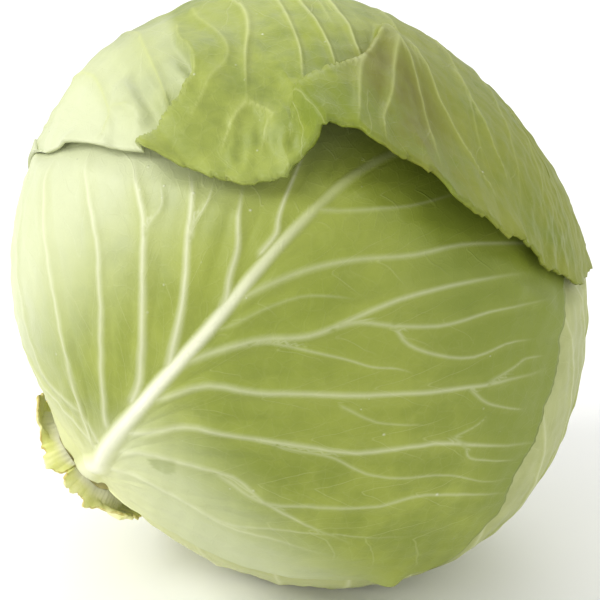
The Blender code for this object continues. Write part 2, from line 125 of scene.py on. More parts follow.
# %% [markdown]
# ## Camera
#
# The photograph was taken with a longish lens from a little above. The camera stands so that
# the head's centre falls a little above the middle of the frame.

# %% Camera
LENS, SENSOR = 100.0, 36.0
CAMERA_RISE = 18.0
CAMERA_DISTANCE = 498 * MM
NEAREST, FARTHEST = 0.01, 20
FRAME_SIDE = 600
CENTRE_PIXEL = (300.7, 290.0)


def place_camera():
    """Centre of the head, minus the view direction times the distance, shifted to the pixel."""
    rise = math.radians(CAMERA_RISE)
    ahead = np.array([0.0, math.cos(rise), -math.sin(rise)])
    right = np.array([1.0, 0.0, 0.0])
    up = np.cross(right, ahead)
    half = SENSOR / 2 / LENS * CAMERA_DISTANCE
    aside = (CENTRE_PIXEL[0] - FRAME_SIDE / 2) / (FRAME_SIDE / 2) * half
    above = (FRAME_SIDE / 2 - CENTRE_PIXEL[1]) / (FRAME_SIDE / 2) * half
    spot = (np.array([0.0, 0.0, CENTRE_HEIGHT]) - ahead * CAMERA_DISTANCE - right * aside
            - up * above)
    data = bpy.data.cameras.new("camera")
    data.lens, data.sensor_width = LENS, SENSOR
    data.clip_start, data.clip_end = NEAREST, FARTHEST
    camera = bpy.data.objects.new("camera", data)
    camera.location = spot
    camera.rotation_euler = (math.radians(90 - CAMERA_RISE), 0, 0)
    bpy.context.scene.collection.objects.link(camera)
    bpy.context.scene.camera = camera
    return camera


print("camera at", np.round(place_camera().location, 3))

# %% [markdown]
# ## Floor and light
#
# The photograph is high key: a white sweep, a big soft source from the upper left that nearly
# burns out that side, and a soft shadow to the right. One large area light makes the key, two
# weaker ones open the right side and the sweep behind, a white world fills the shadows, and a
# plain pale floor bounces light back under the head.

# %% Floor and lights
KEY_PLACE, KEY_SIDE, KEY_POWER = (-1.25, -0.35, 1.05), 0.9, 18.5
FILL_PLACE, FILL_SIDE, FILL_POWER = (1.2, -1.1, 0.7), 1.3, 5.5
BACK_PLACE, BACK_SIDE, BACK_POWER = (0.2, 1.5, 1.6), 1.4, 10.0
AT_HEAD, AT_FLOOR_BEHIND = (0.0, 0.0, 0.07), (0.0, 0.25, 0.0)
WORLD_STRENGTH = 0.86
FLOOR_SIDE, FLOOR_TONE = 6.0, (0.90, 0.90, 0.89, 1)


def area_light(name, place, side, power, aim=AT_HEAD):
    """A square soft light at a place, turned so that its -Z points at its aim."""
    data = bpy.data.lights.new(name, "AREA")
    data.size, data.energy = side, power
    light = bpy.data.objects.new(name, data)
    light.location = place
    ahead = unit(np.array(aim) - np.array(place))
    turn = math.atan2(-ahead[0], ahead[1])
    light.rotation_euler = (math.acos(-ahead[2]), 0, turn)
    bpy.context.scene.collection.objects.link(light)


def white_world():
    """An even white surround, so that no side of the head goes black."""
    world = bpy.data.worlds.new("studio")
    world.use_nodes = True
    surround = world.node_tree.nodes["Background"].inputs
    surround["Color"].default_value = (1, 1, 1, 1)
    surround["Strength"].default_value = WORLD_STRENGTH
    bpy.context.scene.world = world


def pale_floor():
    """A square of floor through z = 0, matt and nearly white."""
    half = FLOOR_SIDE / 2
    mesh = bpy.data.meshes.new("floor")
    mesh.from_pydata([(-half, -half, 0), (half, -half, 0), (half, half, 0), (-half, half, 0)],
                     [], [(0, 1, 2, 3)])
    floor = bpy.data.objects.new("floor", mesh)
    bpy.context.scene.collection.objects.link(floor)
    paint = bpy.data.materials.new("floor_paint")
    paint.use_nodes = True
    shader = paint.node_tree.nodes["Principled BSDF"]
    shader.inputs["Base Color"].default_value = FLOOR_TONE
    shader.inputs["Roughness"].default_value = 0.9
    shader.inputs["Specular IOR Level"].default_value = 0.1
    mesh.materials.append(paint)


white_world()
pale_floor()
area_light("key", KEY_PLACE, KEY_SIDE, KEY_POWER)
area_light("fill", FILL_PLACE, FILL_SIDE, FILL_POWER)
area_light("back", BACK_PLACE, BACK_SIDE, BACK_POWER, aim=AT_FLOOR_BEHIND)
bpy.context.scene.view_settings.view_transform = "Standard"

# %% [markdown]
# ## The flat map of a leaf
#
# A leaf is drawn flat, in degrees of arc round the middle of its blade, and then wrapped on
# the head, as a paper pattern is wrapped on a ball. In the pattern x runs across the leaf and
# y runs towards the crown, so its outline and ribs can be drawn as plain curves.

# %% Wrapping a pattern on the head, and reading it back
MM_PER_DEGREE = 1.53


def map_axes(centre):
    """The centre's direction, the way to the crown square to it, and the way across."""
    middle = direction(*centre)
    ahead = unit(np.array([0.0, 0.0, 1.0]) - middle * middle[2])
    return middle, ahead, np.cross(ahead, middle)


def map_to_head(centre, x, y):
    """Walk from the centre by the pattern's distance: cos r along it, sin r along the walk."""
    middle, ahead, across = map_axes(centre)
    reach = np.hypot(x, y)
    scale = np.sin(np.radians(reach)) / np.maximum(reach, 1e-6)
    return (np.multiply.outer(np.cos(np.radians(reach)), middle)
            + np.multiply.outer(x * scale, across) + np.multiply.outer(y * scale, ahead))


def head_to_map(centre, ways):
    """Bearing (0 to the crown, 90 to the right) and reach of directions from a centre."""
    middle, ahead, across = map_axes(centre)
    reach = np.degrees(np.arccos(np.clip(ways @ middle, -1, 1)))
    return np.degrees(np.arctan2(ways @ across, ways @ ahead)), reach


def bell(x, y, across, up, size):
    """e to the minus square of the distance from a spot, counted in bell sizes."""
    return np.exp(-((x - across) ** 2 + (y - up) ** 2) / size ** 2)


def curve_at(knots, at):
    """Hermite cubics through (row, x, y) knots, each slope taken from the knots beside it."""
    knots = np.array(knots, dtype=float)
    where, points = knots[:, 0], knots[:, 1:]
    slopes = np.gradient(points, where, axis=0)
    at = np.clip(np.asarray(at, dtype=float), where[0], where[-1])
    i = np.clip(np.searchsorted(where, at, side="right") - 1, 0, len(where) - 2)
    step = (where[i + 1] - where[i])[..., None]
    t = (at[..., None] - where[i][..., None]) / step
    start = (1 + 2 * t) * (1 - t) ** 2 * points[i] + t * (1 - t) ** 2 * step * slopes[i]
    end = t * t * (3 - 2 * t) * points[i + 1] + t * t * (t - 1) * step * slopes[i + 1]
    return start + end


print("20 degrees to the right of the front is", map_to_head((90, 0), 20.0, 0.0).round(2))

# %% [markdown]
# ## Which leaf lies on which
#
# Leaves that lap need to know of each other, or they would cut through one another. Every
# leaf can say how far inside its margin a direction lies, and a lower leaf sinks there.

# %% Margins and laps
ROWS = 36


def outline(leaf):
    """Reach of a leaf's margin by bearing, read off its two margin curves."""
    at = np.linspace(0, ROWS, 120)
    spots = np.concatenate([curve_at(leaf["right"], at), curve_at(leaf["left"], at)])
    bearing = np.degrees(np.arctan2(spots[:, 0], spots[:, 1]))
    order = np.argsort(bearing)
    bearing, reach = bearing[order], np.hypot(spots[:, 0], spots[:, 1])[order]
    return np.concatenate([bearing - 360, bearing, bearing + 360]), np.tile(reach, 3)


def inside(leaf, ways):
    """Degrees by which directions lie inside a leaf's margin."""
    bearing, reach = head_to_map(leaf["centre"], ways)
    return np.interp(bearing, *outline(leaf)) - reach


def covered(leaf, ways):
    """1 where a leaf lies over the given directions, 0 outside it, a ramp 9 degrees wide."""
    return smooth((inside(leaf, ways) + 8) / 9)


# %% [markdown]
# ## A grid that runs like the ribs
#
# A cabbage leaf has a thick midrib, and side ribs that leave it almost along it and then bend
# out to the margin. The rows of the grid run that way too. On the leaves that are hardly seen
# every third row number is a rib; on the two leaves in front the ribs are drawn one by one.
# The grid is fine enough to give each rib a round section of its own, which catches the light
# in a way that a painted stripe never does.

# %% Rows and columns of the grid
FIRST_RIB, RIB_EVERY, LAST_RIB_NUMBER = 8, 3, 8
MIDRIB_STEPS = 8
RIB_BEND = 0.25
TOOTH = 3.4 * MM


def even_rows(leaf):
    """Row numbers read off the running length of both margins, closer where the leaf is busy."""
    fine = np.linspace(0, ROWS, 1500)
    length = sum(np.hypot(*np.gradient(curve_at(leaf[side], fine), axis=0).T)
                 for side in ("left", "right"))
    seen = np.interp(fine, leaf["busy"], [0.6, 1.0, 1.0, 0.6])
    travelled = np.cumsum(seen * (length + 0.2 * length.mean()))
    even = np.linspace(travelled[0], travelled[-1], leaf["rows"] + 1)
    return np.interp(even, travelled, fine)


def midrib_half_width(rows):
    """Half the midrib's width in degrees of arc, wide at the base and thin at the tip."""
    return np.interp(rows, [0, 8, 14, 20, 26, ROWS], [4.5, 3.6, 2.6, 1.9, 1.3, 0.9])


def margin_teeth(rows, margin, depth):
    """Coarse teeth by row number, and fine ones every 3.4 mm of margin with an uneven beat."""
    coarse = np.sin(5.3 * rows) + 0.6 * np.sin(11.9 * rows + 1.0)
    run = np.cumsum(np.hypot(*np.gradient(margin, axis=0).T)) * MM_PER_DEGREE * MM / TOOTH
    fine = np.sin(2 * np.pi * run + 1.5 * np.sin(1.9 * run)) * (0.6 + 0.4 * np.sin(0.7 * run))
    return depth * (coarse + 0.8 * fine) * smooth(rows) * smooth((ROWS - rows) / 2)


def half_leaf(leaf, side, rows, steps):
    """Crest of the midrib, its foot square to it, then a quadratic bend out to the margin."""
    crest = curve_at(leaf["midrib"], rows)
    ahead = (curve_at(leaf["midrib"], np.minimum(rows + 0.5, ROWS))
             - curve_at(leaf["midrib"], np.maximum(rows - 0.5, 0)))
    ahead = ahead / np.linalg.norm(ahead, axis=-1, keepdims=True)
    square = side * np.stack([ahead[:, 1], -ahead[:, 0]], axis=-1)
    at_tip = smooth((rows - ROWS + 2) / 2)[:, None]
    wide = (midrib_half_width(rows) * leaf["rib_scale"])[:, None]
    foot = crest + wide * ((1 - at_tip) * square + at_tip * ahead)
    end = curve_at(leaf["right"] if side > 0 else leaf["left"], rows)
    span = np.linalg.norm(end - foot, axis=-1, keepdims=True)
    end = end + (end - foot) / span * margin_teeth(rows, end, leaf["ragged"])[:, None]
    bend = foot + ahead * span * RIB_BEND
    t = ((np.sqrt(0.2025 + 2.2 * steps) - 0.45) / 1.1)[:, None]
    blade = ((1 - t) ** 2 * foot[:, None] + 2 * t * (1 - t) * bend[:, None]
             + t * t * end[:, None])
    near = np.linspace(0, 1, MIDRIB_STEPS + 1)[:-1, None]
    midrib = crest[:, None] + near * (foot - crest)[:, None]
    return np.concatenate([midrib, blade], axis=1), wide, span


def leaf_grid(leaf):
    """Rows and columns of a leaf: pattern places, the part of the way out, and midrib share."""
    rows = even_rows(leaf)
    steps = np.linspace(0, 1, leaf["blade_steps"] + 1)
    near = np.linspace(0, 1, MIDRIB_STEPS + 1)[:-1]
    halves = []
    for side in (-1, 1):
        spots, wide, span = half_leaf(leaf, side, rows, steps)
        out = np.concatenate([near * wide, wide + steps * span], axis=1) / (wide + span)
        halves.append((spots, side * out))
    spots = np.concatenate([halves[0][0][:, :0:-1], halves[1][0]], axis=1)
    out = np.concatenate([halves[0][1][:, :0:-1], halves[1][1]], axis=1)
    across = np.concatenate([near, 1 + steps * leaf["blade_steps"] / MIDRIB_STEPS])
    across = np.concatenate([across[:0:-1], across])
    return rows, spots, out, across


print("half width of a midrib at its base, degrees", midrib_half_width(0))

# %% [markdown]
# ## Leaf blades as closed sheets
#
# A render needs only a face, but a part needs a body. Each leaf gets an outer face, an inner
# face half as fine, because it lies hidden against the head, and a strip that joins the two
# round the margin. Numpy works out whole arrays of triangles, and foreach_set hands them over.

# %% Triangles and normals of a grid
BLADE = 0.9 * MM


def grid_triangles(down, across):
    """Two triangles a square, split across the short way on either side of the midrib."""
    corner = np.arange(down * across).reshape(down, across)
    a, b, c, d = corner[:-1, :-1], corner[:-1, 1:], corner[1:, 1:], corner[1:, :-1]
    right = np.arange(across - 1)[None, :] >= (across - 1) // 2
    right = np.broadcast_to(right, a.shape)
    first = np.stack([a, b, np.where(right, d, c)], axis=-1)
    second = np.stack([np.where(right, b, a), c, d], axis=-1)
    return np.concatenate([first.reshape(-1, 3), second.reshape(-1, 3)])


def welded(down, across):
    """Vertex of each grid place once the last row's two halves are one seam."""
    vertex = np.arange(down * across).reshape(down, across)
    vertex[-1, :across // 2] = vertex[-1, :across // 2:-1]
    return vertex


def sheet_normals(points, triangles):
    """Sum of the cross products round each vertex, divided by its length."""
    corners = points[triangles]
    flat = np.cross(corners[:, 1] - corners[:, 0], corners[:, 2] - corners[:, 0])
    total = np.stack([np.bincount(triangles.ravel(), np.repeat(flat[:, k], 3), len(points))
                      for k in range(3)], axis=-1)
    return total / np.maximum(np.linalg.norm(total, axis=1, keepdims=True), 1e-12)


def margin_loop(vertex):
    """Places round the open edge: the base row, up the right margin and down the left."""
    return np.concatenate([vertex[0], vertex[1:, -1], vertex[-2:0:-1, 0]])


def four_edges(vertex):
    """Places round a whole grid: first row, last column, last row back, first column back."""
    return np.concatenate([vertex[0], vertex[1:, -1], vertex[-1, -2::-1], vertex[-2:0:-1, 0]])


def close_blade(outer_vertex, inner_vertex, edge=margin_loop):
    """Outer triangles, inner triangles turned round, and three triangles a step of the rim."""
    outer = outer_vertex.ravel()[grid_triangles(*outer_vertex.shape)]
    inner = inner_vertex.ravel()[grid_triangles(*inner_vertex.shape)][:, ::-1]
    fine, coarse = edge(outer_vertex), edge(inner_vertex)
    here, middle, there = fine[::2], fine[1::2], np.roll(fine[::2], -1)
    under, beyond = coarse, np.roll(coarse, -1)
    rim = np.concatenate([np.stack([here, under, middle], 1), np.stack([middle, under, beyond], 1),
                          np.stack([middle, beyond, there], 1)])
    return outer, np.concatenate([outer, inner, rim])


def on_both_faces(values):
    """Values of the outer face, then of every second row and column, for the inner face."""
    return np.concatenate([values.ravel(), values[::2, ::2].ravel()])


def make_mesh(name, points, triangles, measures):
    """Vertices and triangles handed over as whole arrays, with a named value per vertex."""
    kept, numbers = np.unique(triangles, return_inverse=True)
    numbers = numbers.reshape(triangles.shape)
    mesh = bpy.data.meshes.new(name)
    mesh.vertices.add(len(kept))
    mesh.vertices.foreach_set("co", points[kept].astype(np.float32).ravel())
    mesh.loops.add(numbers.size)
    mesh.loops.foreach_set("vertex_index", numbers.astype(np.int32).ravel())
    mesh.polygons.add(len(numbers))
    mesh.polygons.foreach_set("loop_start", np.arange(0, numbers.size, 3, dtype=np.int32))
    mesh.polygons.foreach_set("use_smooth", np.ones(len(numbers), dtype=bool))
    mesh.update(calc_edges=True)
    for label, values in measures.items():
        layer = mesh.attributes.new(label, "FLOAT", "POINT")
        layer.data.foreach_set("value", values[kept].astype(np.float32))
    mesh.validate()
    body = bpy.data.objects.new(name, mesh)
    bpy.context.scene.collection.objects.link(body)
    return body


print("triangles of a 3 by 3 grid", len(grid_triangles(3, 3)))

# %% [markdown]
# ## Folds and ridges
#
# The leaf that comes over the crown is larger than the ball it lies on, so its front edge
# puckers into pleats, like cloth eased into a seam. Each pleat is a line drawn on the
# pattern: the blade is high on one side of it and drops steeply on the other.

# %% Distance to a drawn line, pleats and ridges
def distance_to_line(x, y, line):
    """Nearest point of every segment: distance, side (+ left of the heading), share travelled."""
    line = np.array(line, dtype=float)
    best, side, travel = np.full(np.shape(x), 1e9), np.zeros(np.shape(x)), np.zeros(np.shape(x))
    for i in range(len(line) - 1):
        step = line[i + 1] - line[i]
        t = ((x - line[i, 0]) * step[0] + (y - line[i, 1]) * step[1]) / step.dot(step)
        t = np.clip(t, 0, 1)
        off_x, off_y = x - line[i, 0] - t * step[0], y - line[i, 1] - t * step[1]
        far = np.hypot(off_x, off_y)
        nearer = far < best
        best = np.where(nearer, far, best)
        side = np.where(nearer, np.sign(step[0] * off_y - step[1] * off_x), side)
        travel = np.where(nearer, (i + t) / (len(line) - 1), travel)
    return best, side, travel


DROP, NO_END = 2.8, 60


def pleat(x, y, line, rise, dip, over_width, under_width, high=1, past=NO_END):
    """Left of the line a bell curve; right of it a 2.8 degree drop; high -1 swaps the sides.

    Beyond the last point of the line the pleat dies away within `past` degrees.
    """
    far, side, travel = distance_to_line(x, y, line)
    (ax, ay), (bx, by) = line[-2:]
    beyond = ((x - bx) * (bx - ax) + (y - by) * (by - ay)) / np.hypot(bx - ax, by - ay)
    over = rise * np.exp(-(far / over_width) ** 2)
    under = rise * smooth(1 - far / DROP) - dip * smooth(far / DROP) * np.exp(
        -(far / under_width) ** 2)
    ends = smooth(travel * 2.5 + 0.05) * (1.0 if high > 0 else smooth((1.0 - travel) * 2))
    return np.where(side * high >= 0, over, under) * ends * smooth(1 - beyond / past)


def ridge(x, y, line, rise, width):
    """A bell curve across the line, faded at both of its ends."""
    far, _, travel = distance_to_line(x, y, line)
    return rise * np.exp(-(far / width) ** 2) * smooth(travel * 3) * smooth((1.15 - travel) * 3)


def margin_wave(rows, out, rise, count):
    """A sine along the margin that grows with the sixth power of the way out."""
    return rise * np.abs(out) ** 6 * np.sin(rows * count + np.sign(out) * 1.3)


# %% [markdown]
# ## How high each leaf lies
#
# The crown leaf lies on top and stands well off the head along its torn front edge. The front
# leaf sinks under it, the under leaf sinks under both, and the back leaf under all three.

# %% Heights of the four wrapper leaves above the head
TOP_LAYER, UNDER_LAYER, BACK_LAYER = 1.2 * MM, -0.4 * MM, -0.8 * MM
UNDER_CROWN, UNDER_A_LEAF = 1.5 * MM, 2.0 * MM
FLOOR_STEP = 1.5 * MM
LEFT_PLEAT = [(66, 15), (74, 16), (81, 19), (87, 18), (91, 13), (95, 5), (97, -1)]
LEFT_RIPPLE = [(72, 2), (80, 0), (88, 1), (93, -6)]
RIGHT_PLEAT = [(47, 60), (56, 62), (66, 63), (76, 60), (84, 54), (94, 42)]
LOBE_CREST = [(92, 43), (95, 40), (98, 37), (101, 34), (103, 31)]
FLANK_FOLD = [(76, 11), (82, 13), (87, 16), (90, 15)]
SHORT_FOLDS = ([(95, 24), (99, 22), (105, 18)], [(97, 28), (101, 26), (106, 22)],
               [(83, -6), (87, -10), (90, -13)], [(78, 5), (86, 7), (94, 6)])
CURLS = ((78, -20, 3.5, 1.4), (98, 0, 3, 2.2), (95, 45, 3, 1.6), (63, 111, 5, 1.2))
FRONT_CURL, FRONT_CURL_RISE = (68, -22, 3.5), 2.6 * MM
CROWN_DIP, CROWN_DIP_DEPTH = (52, 9, 9), 2.2 * MM
TUCKED_FROM = 96
EDGE_BEARINGS = [-40, -2, 9, 22, 30, 38, 50, 60, 65.5, 67.5, 74, 84, 100, 112, 130]
EDGE_LIFTS = [0.4, 0.6, 1.0, 2.2, 5.0, 8.5, 11.0, 10.5, 10.0, 5.0, 3.4, 2.2, 1.0, 0.3, 0.1]


def front_height(x, y, rows, out, ways):
    """Zero in the open, lower under the crown leaf, with a wave and one curl at the margin."""
    under = covered(leaves["crown_leaf"], ways)
    margin = 0.6 * MM * np.abs(out) ** 8 + margin_wave(rows, out, 0.3 * MM, 1.9)
    margin = margin + FRONT_CURL_RISE * bell(x, y, *FRONT_CURL)
    return -UNDER_CROWN * under + margin * (1 - under)


def crown_lift(x, y, ways):
    """Lift by bearing, times the squared nearness to the edge within 6 degrees and more."""
    edge = np.interp(np.degrees(np.arctan2(x, y)), EDGE_BEARINGS, EDGE_LIFTS)
    near = np.clip(1 - inside(leaves["crown_leaf"], ways) / (6 + 2.2 * edge), 0, 1.1)
    return MM * edge * near ** 2


def curl(x, y, ways):
    """Small upturned places of the torn edge: round bells, only within 4 degrees of it."""
    near = smooth(1.3 - inside(leaves["crown_leaf"], ways) / 4)
    return MM * near * sum(lift * bell(x, y, *spot) for *spot, lift in CURLS)


def crown_height(x, y, rows, out, ways):
    """Its layer, less at the stem and behind, the lifted edge, the folds and a margin wave."""
    pleats = (pleat(x, y, LEFT_PLEAT, 5.2 * MM, 1.0 * MM, 8, 5)
              + pleat(x, y, RIGHT_PLEAT, 5.6 * MM, 0.5 * MM, 12, 6, past=9)
              + pleat(x, y, LEFT_RIPPLE, 2.4 * MM, 0.6 * MM, 4, 3, high=-1)
              + pleat(x, y, LOBE_CREST, 2.3 * MM, 0.5 * MM, 4, 5, high=-1)
              + ridge(x, y, FLANK_FOLD, 0.9 * MM, 1.2))
    short = sum(ridge(x, y, line, 0.8 * MM, 1.1) for line in SHORT_FOLDS)
    bearing = np.degrees(np.arctan2(x, y))
    over = TOP_LAYER * smooth((0.951 + ways[..., 2]) / 0.068) * (
        1 - 0.85 * smooth((bearing - TUCKED_FROM) / 14))
    dip = CROWN_DIP_DEPTH * bell(x, y, *CROWN_DIP)
    return (over + crown_lift(x, y, ways) + pleats + short + curl(x, y, ways) - dip
            + margin_wave(rows, out, 0.5 * MM, 2.3))


def lean(x, y, line, towards, push):
    """How far a crest is pushed over its trough: all of it at the line, none a bell away."""
    far, side, travel = distance_to_line(x, y, line)
    share = np.where(side >= 0, np.exp(-(far / 4) ** 2), smooth(1 - far / 3.0))
    share = push * share * smooth(travel * 2.5 + 0.05)
    return share * towards[0], share * towards[1]


def crown_lean(x, y):
    """The left pleat leans a little to the left, and the right one uphill, so it overhangs."""
    left_x, left_y = lean(x, y, LEFT_PLEAT, (-0.3, -0.95), 0.7)
    right_x, right_y = lean(x, y, RIGHT_PLEAT, (-0.58, -0.81), 2.2)
    return x + left_x + right_x, y + left_y + right_y


def under_height(x, y, rows, out, ways):
    """A little below the surface, and lower still beneath the front and crown leaves."""
    sunk = (UNDER_A_LEAF * covered(leaves["front_leaf"], ways)
            + UNDER_CROWN * covered(leaves["crown_leaf"], ways))
    return UNDER_LAYER - sunk + margin_wave(rows, out, 0.2 * MM, 1.7)


def back_height(x, y, rows, out, ways):
    """Lowest of the four: it sinks beneath each of the other three."""
    sunk = (UNDER_A_LEAF * (covered(leaves["front_leaf"], ways)
                            + covered(leaves["under_leaf"], ways))
            + UNDER_CROWN * covered(leaves["crown_leaf"], ways))
    return BACK_LAYER - sunk


# %% [markdown]
# ## The patterns of the four leaves
#
# A midrib and two margins, each a curve through (row, x, y) knots in degrees, tell one leaf
# from another. The ribs of the two leaves in front are drawn as (width, strength, x and y
# knots), because those are the lines by which this head is known.

# %% Patterns
usual = {"ragged": 0.4, "busy": [0, 1, 35, 36], "pale_reach": 45, "rib_scale": 0.8, "rows": 260,
         "blade_steps": 72, "row_ribs": 1.0, "lowest": 0.0}
front_leaf = {
    **usual, "centre": (88, -6), "ragged": 0.18, "pale_reach": 32, "rib_scale": 1.0,
    "rows": 300, "blade_steps": 100, "row_ribs": 0.0, "height": front_height,
    "over": ["crown_leaf"],
    "midrib": [(0, 5, -75), (4, 5, -67), (8, 6, -60), (11, 7, -54), (14, 6, -46), (17, 5, -36),
               (20, 4, -25), (23, 2, -8), (26, -2, 12), (29, -4, 30), (32, -1, 52), (36, 3, 80)],
    "right": [(0, 13, -71), (1, 20, -61), (2, 29, -52), (3, 40, -45), (4, 50, -38), (5, 60, -29),
              (6, 69, -20), (7, 75, -10), (8, 73, 2), (11, 66, 14), (14, 60, 27), (17, 53, 38),
              (20, 44, 50), (23, 39, 66), (26, 34, 80), (29, 27, 89), (32, 17, 95), (36, 3, 98)],
    "left": [(0, -4, -75), (2, -20, -73), (4, -46, -70), (6, -68, -58), (8, -82, -42),
             (11, -90, -22), (14, -88, 0), (17, -80, 22), (20, -68, 41), (23, -52, 56),
             (26, -38, 70), (29, -25, 82), (32, -12, 91), (36, 3, 98)],
}
crown_leaf = {
    **usual, "centre": (95, -130), "ragged": 0.28, "busy": [5, 7, 24, 27], "pale_reach": 40,
    "rib_scale": 0.85, "rows": 320, "blade_steps": 104, "height": crown_height,
    "leaning": crown_lean, "drawn_from": 56, "over": [],
    "midrib": [(0, 0, -79), (4, 0, -72), (8, 0, -60), (11, 0, -48), (14, 0, -33), (17, 1, -16),
               (20, 3, 5), (24, 6, 30), (28, 10, 55), (32, 12, 80), (36, 12, 106)],
    "right": [(0, 9, -80), (1, 17, -78), (2, 23, -73), (3, 27, -64), (4, 32, -51), (5, 40, -37),
              (6, 51, -28), (7, 67, -27), (8, 82, -16), (10, 93, -6), (11, 98, 0), (13, 105, 9),
              (14, 108, 16), (15, 109, 24), (16, 107, 34), (17, 101, 43), (18, 98, 50),
              (20, 96, 63), (22, 92, 76), (23, 89, 85), (25, 80, 98), (26, 74, 104),
              (29, 54, 116), (32, 36, 125), (34, 24, 127), (36, 12, 128)],
    "left": [(0, -8, -80), (2, -22, -77), (4, -36, -67), (6, -48, -55), (8, -56, -40),
             (11, -62, -20), (14, -63, 4), (17, -61, 26), (20, -57, 46), (23, -52, 64),
             (26, -45, 82), (29, -36, 100), (32, -24, 117), (34, -8, 126), (36, 12, 128)],
}
under_leaf = {
    **usual, "centre": (90, 82), "height": under_height, "over": ["front_leaf", "crown_leaf"],
    "midrib": [(0, 0, -75), (9, 1, -55), (18, 2, -25), (27, 0, 20), (36, -2, 62)],
    "right": [(0, 9, -75), (3, 24, -72), (6, 42, -62), (9, 56, -45), (12, 64, -25), (15, 67, -4),
              (18, 66, 15), (21, 61, 32), (24, 53, 47), (27, 43, 60), (30, 31, 71), (33, 16, 80),
              (36, -2, 84)],
    "left": [(0, -8, -75), (3, -22, -74), (6, -40, -66), (9, -56, -50), (12, -66, -30),
             (15, -69, -8), (18, -67, 14), (21, -61, 33), (24, -53, 49), (27, -42, 63),
             (30, -30, 73), (33, -16, 81), (36, -2, 84)],
}
back_leaf = {
    **usual, "centre": (92, 168), "height": back_height, "lowest": FLOOR_STEP,
    "over": ["under_leaf", "crown_leaf", "front_leaf"],
    "midrib": [(0, 0, -77), (9, 1, -57), (18, 0, -27), (27, -2, 18), (36, 0, 60)],
    "right": [(0, 8, -77), (3, 22, -76), (6, 42, -66), (9, 56, -50), (12, 66, -30), (15, 71, -6),
              (18, 69, 16), (21, 63, 36), (24, 53, 52), (27, 42, 64), (30, 30, 73), (33, 16, 80),
              (36, 1, 83)],
    "left": [(0, -8, -77), (3, -22, -75), (6, -42, -67), (9, -57, -51), (12, -67, -30),
             (15, -72, -6), (18, -70, 17), (21, -63, 37), (24, -53, 53), (27, -42, 65),
             (30, -30, 74), (33, -15, 80), (36, 1, 83)],
}
front_leaf["ribs"] = (
    (1.1, 0.42, [(4, -50), (-6, -41), (-16, -34), (-26, -29), (-36, -25), (-43, -22), (-49, -18)]),
    (1.1, 0.46, [(3, -40), (-1, -35), (-10, -25), (-15, -21), (-23, -16), (-33, -13), (-41, -10)]),
    (1.2, 0.56, [(3, -30), (1, -25), (-5, -18), (-12, -12), (-19, -7), (-25, -5), (-32, -3)]),
    (1.2, 0.58, [(3, -19), (1, -16), (-1, -13), (-5, -8), (-12, -2), (-17, 2), (-22, 4)]),
    (1.0, 0.48, [(1, -5), (-0, -3), (-2, -1), (-5, 3), (-9, 6), (-14, 10)]),
    (0.6, 0.30, [(-11, -2), (-13, 0), (-14, 3), (-17, 6)]),
    (0.6, 0.22, [(-17, -8), (-18, -6), (-19, -3), (-23, -1)]),
    (0.8, 0.45, [(-2, 5), (-3, 9), (-5, 11), (-8, 15), (-14, 24)]),
    (1.0, 0.30, [(5, -47), (-3, -44), (-13, -49), (-22, -47), (-30, -43), (-42, -36), (-60, -26)]),
    (1.0, 0.40, [(5, -49), (-3, -49), (-10, -52), (-20, -56), (-38, -58)]),
    (0.7, 0.16, [(-3, 16), (1, 21), (5, 28), (7, 33), (10, 44)]),
    (0.9, 0.24, [(1, -4), (3, 5), (5, 11), (8, 17), (13, 25), (17, 34), (25, 47), (31, 56)]),
    (0.6, 0.12, [(2, -10), (4, -5), (5, 0), (7, 6), (10, 10), (13, 13)]),
    (1.0, 0.32, [(4, -22), (4, -15), (8, -4), (12, 2), (14, 7), (17, 18), (23, 31), (31, 45)]),
    (0.7, 0.26, [(14, 7), (16, 11), (20, 15), (25, 21), (28, 27), (31, 33), (40, 48)]),
    (0.6, 0.25, [(20, 15), (24, 15), (29, 18), (34, 23), (37, 30), (42, 37)]),
    (0.5, 0.22, [(8, -5), (10, -2), (16, 3), (20, 6), (23, 8), (26, 11), (29, 13)]),
    (1.0, 0.36, [(4, -28), (6, -23), (9, -15), (15, -9), (19, -4), (26, 4), (34, 14), (43, 26),
                 (50, 36)]),
    (0.6, 0.21, [(38, 19), (43, 20), (48, 23), (52, 26)]),
    (0.6, 0.18, [(40, 22), (42, 28), (43, 32), (47, 37)]),
    (0.5, 0.16, [(25, 0), (30, 2), (33, 4), (39, 10)]),
    (1.0, 0.38, [(5, -38), (9, -31), (12, -24), (17, -19), (23, -13), (34, -3), (42, 8), (52, 16),
                 (64, 26)]),
    (0.5, 0.16, [(44, 11), (45, 15), (46, 19)]),
    (0.6, 0.21, [(44, 11), (47, 12), (50, 11), (55, 14), (62, 19)]),
    (1.0, 0.31, [(8, -42), (12, -35), (16, -31), (24, -24), (32, -23), (39, -21), (52, -17)]),
    (0.6, 0.22, [(24, -13), (28, -10), (32, -7), (38, -5), (43, -1), (50, 6), (58, 10), (64, 15)]),
    (0.8, 0.26, [(22, -26), (32, -23), (37, -17), (43, -11), (50, 0), (59, 7), (68, 13)]),
    (1.0, 0.26, [(9, -50), (14, -43), (19, -40), (26, -36), (32, -34), (39, -29), (52, -22)]),
    (0.6, 0.21, [(20, -39), (26, -36), (32, -33), (37, -27), (46, -18), (60, -6)]),
)
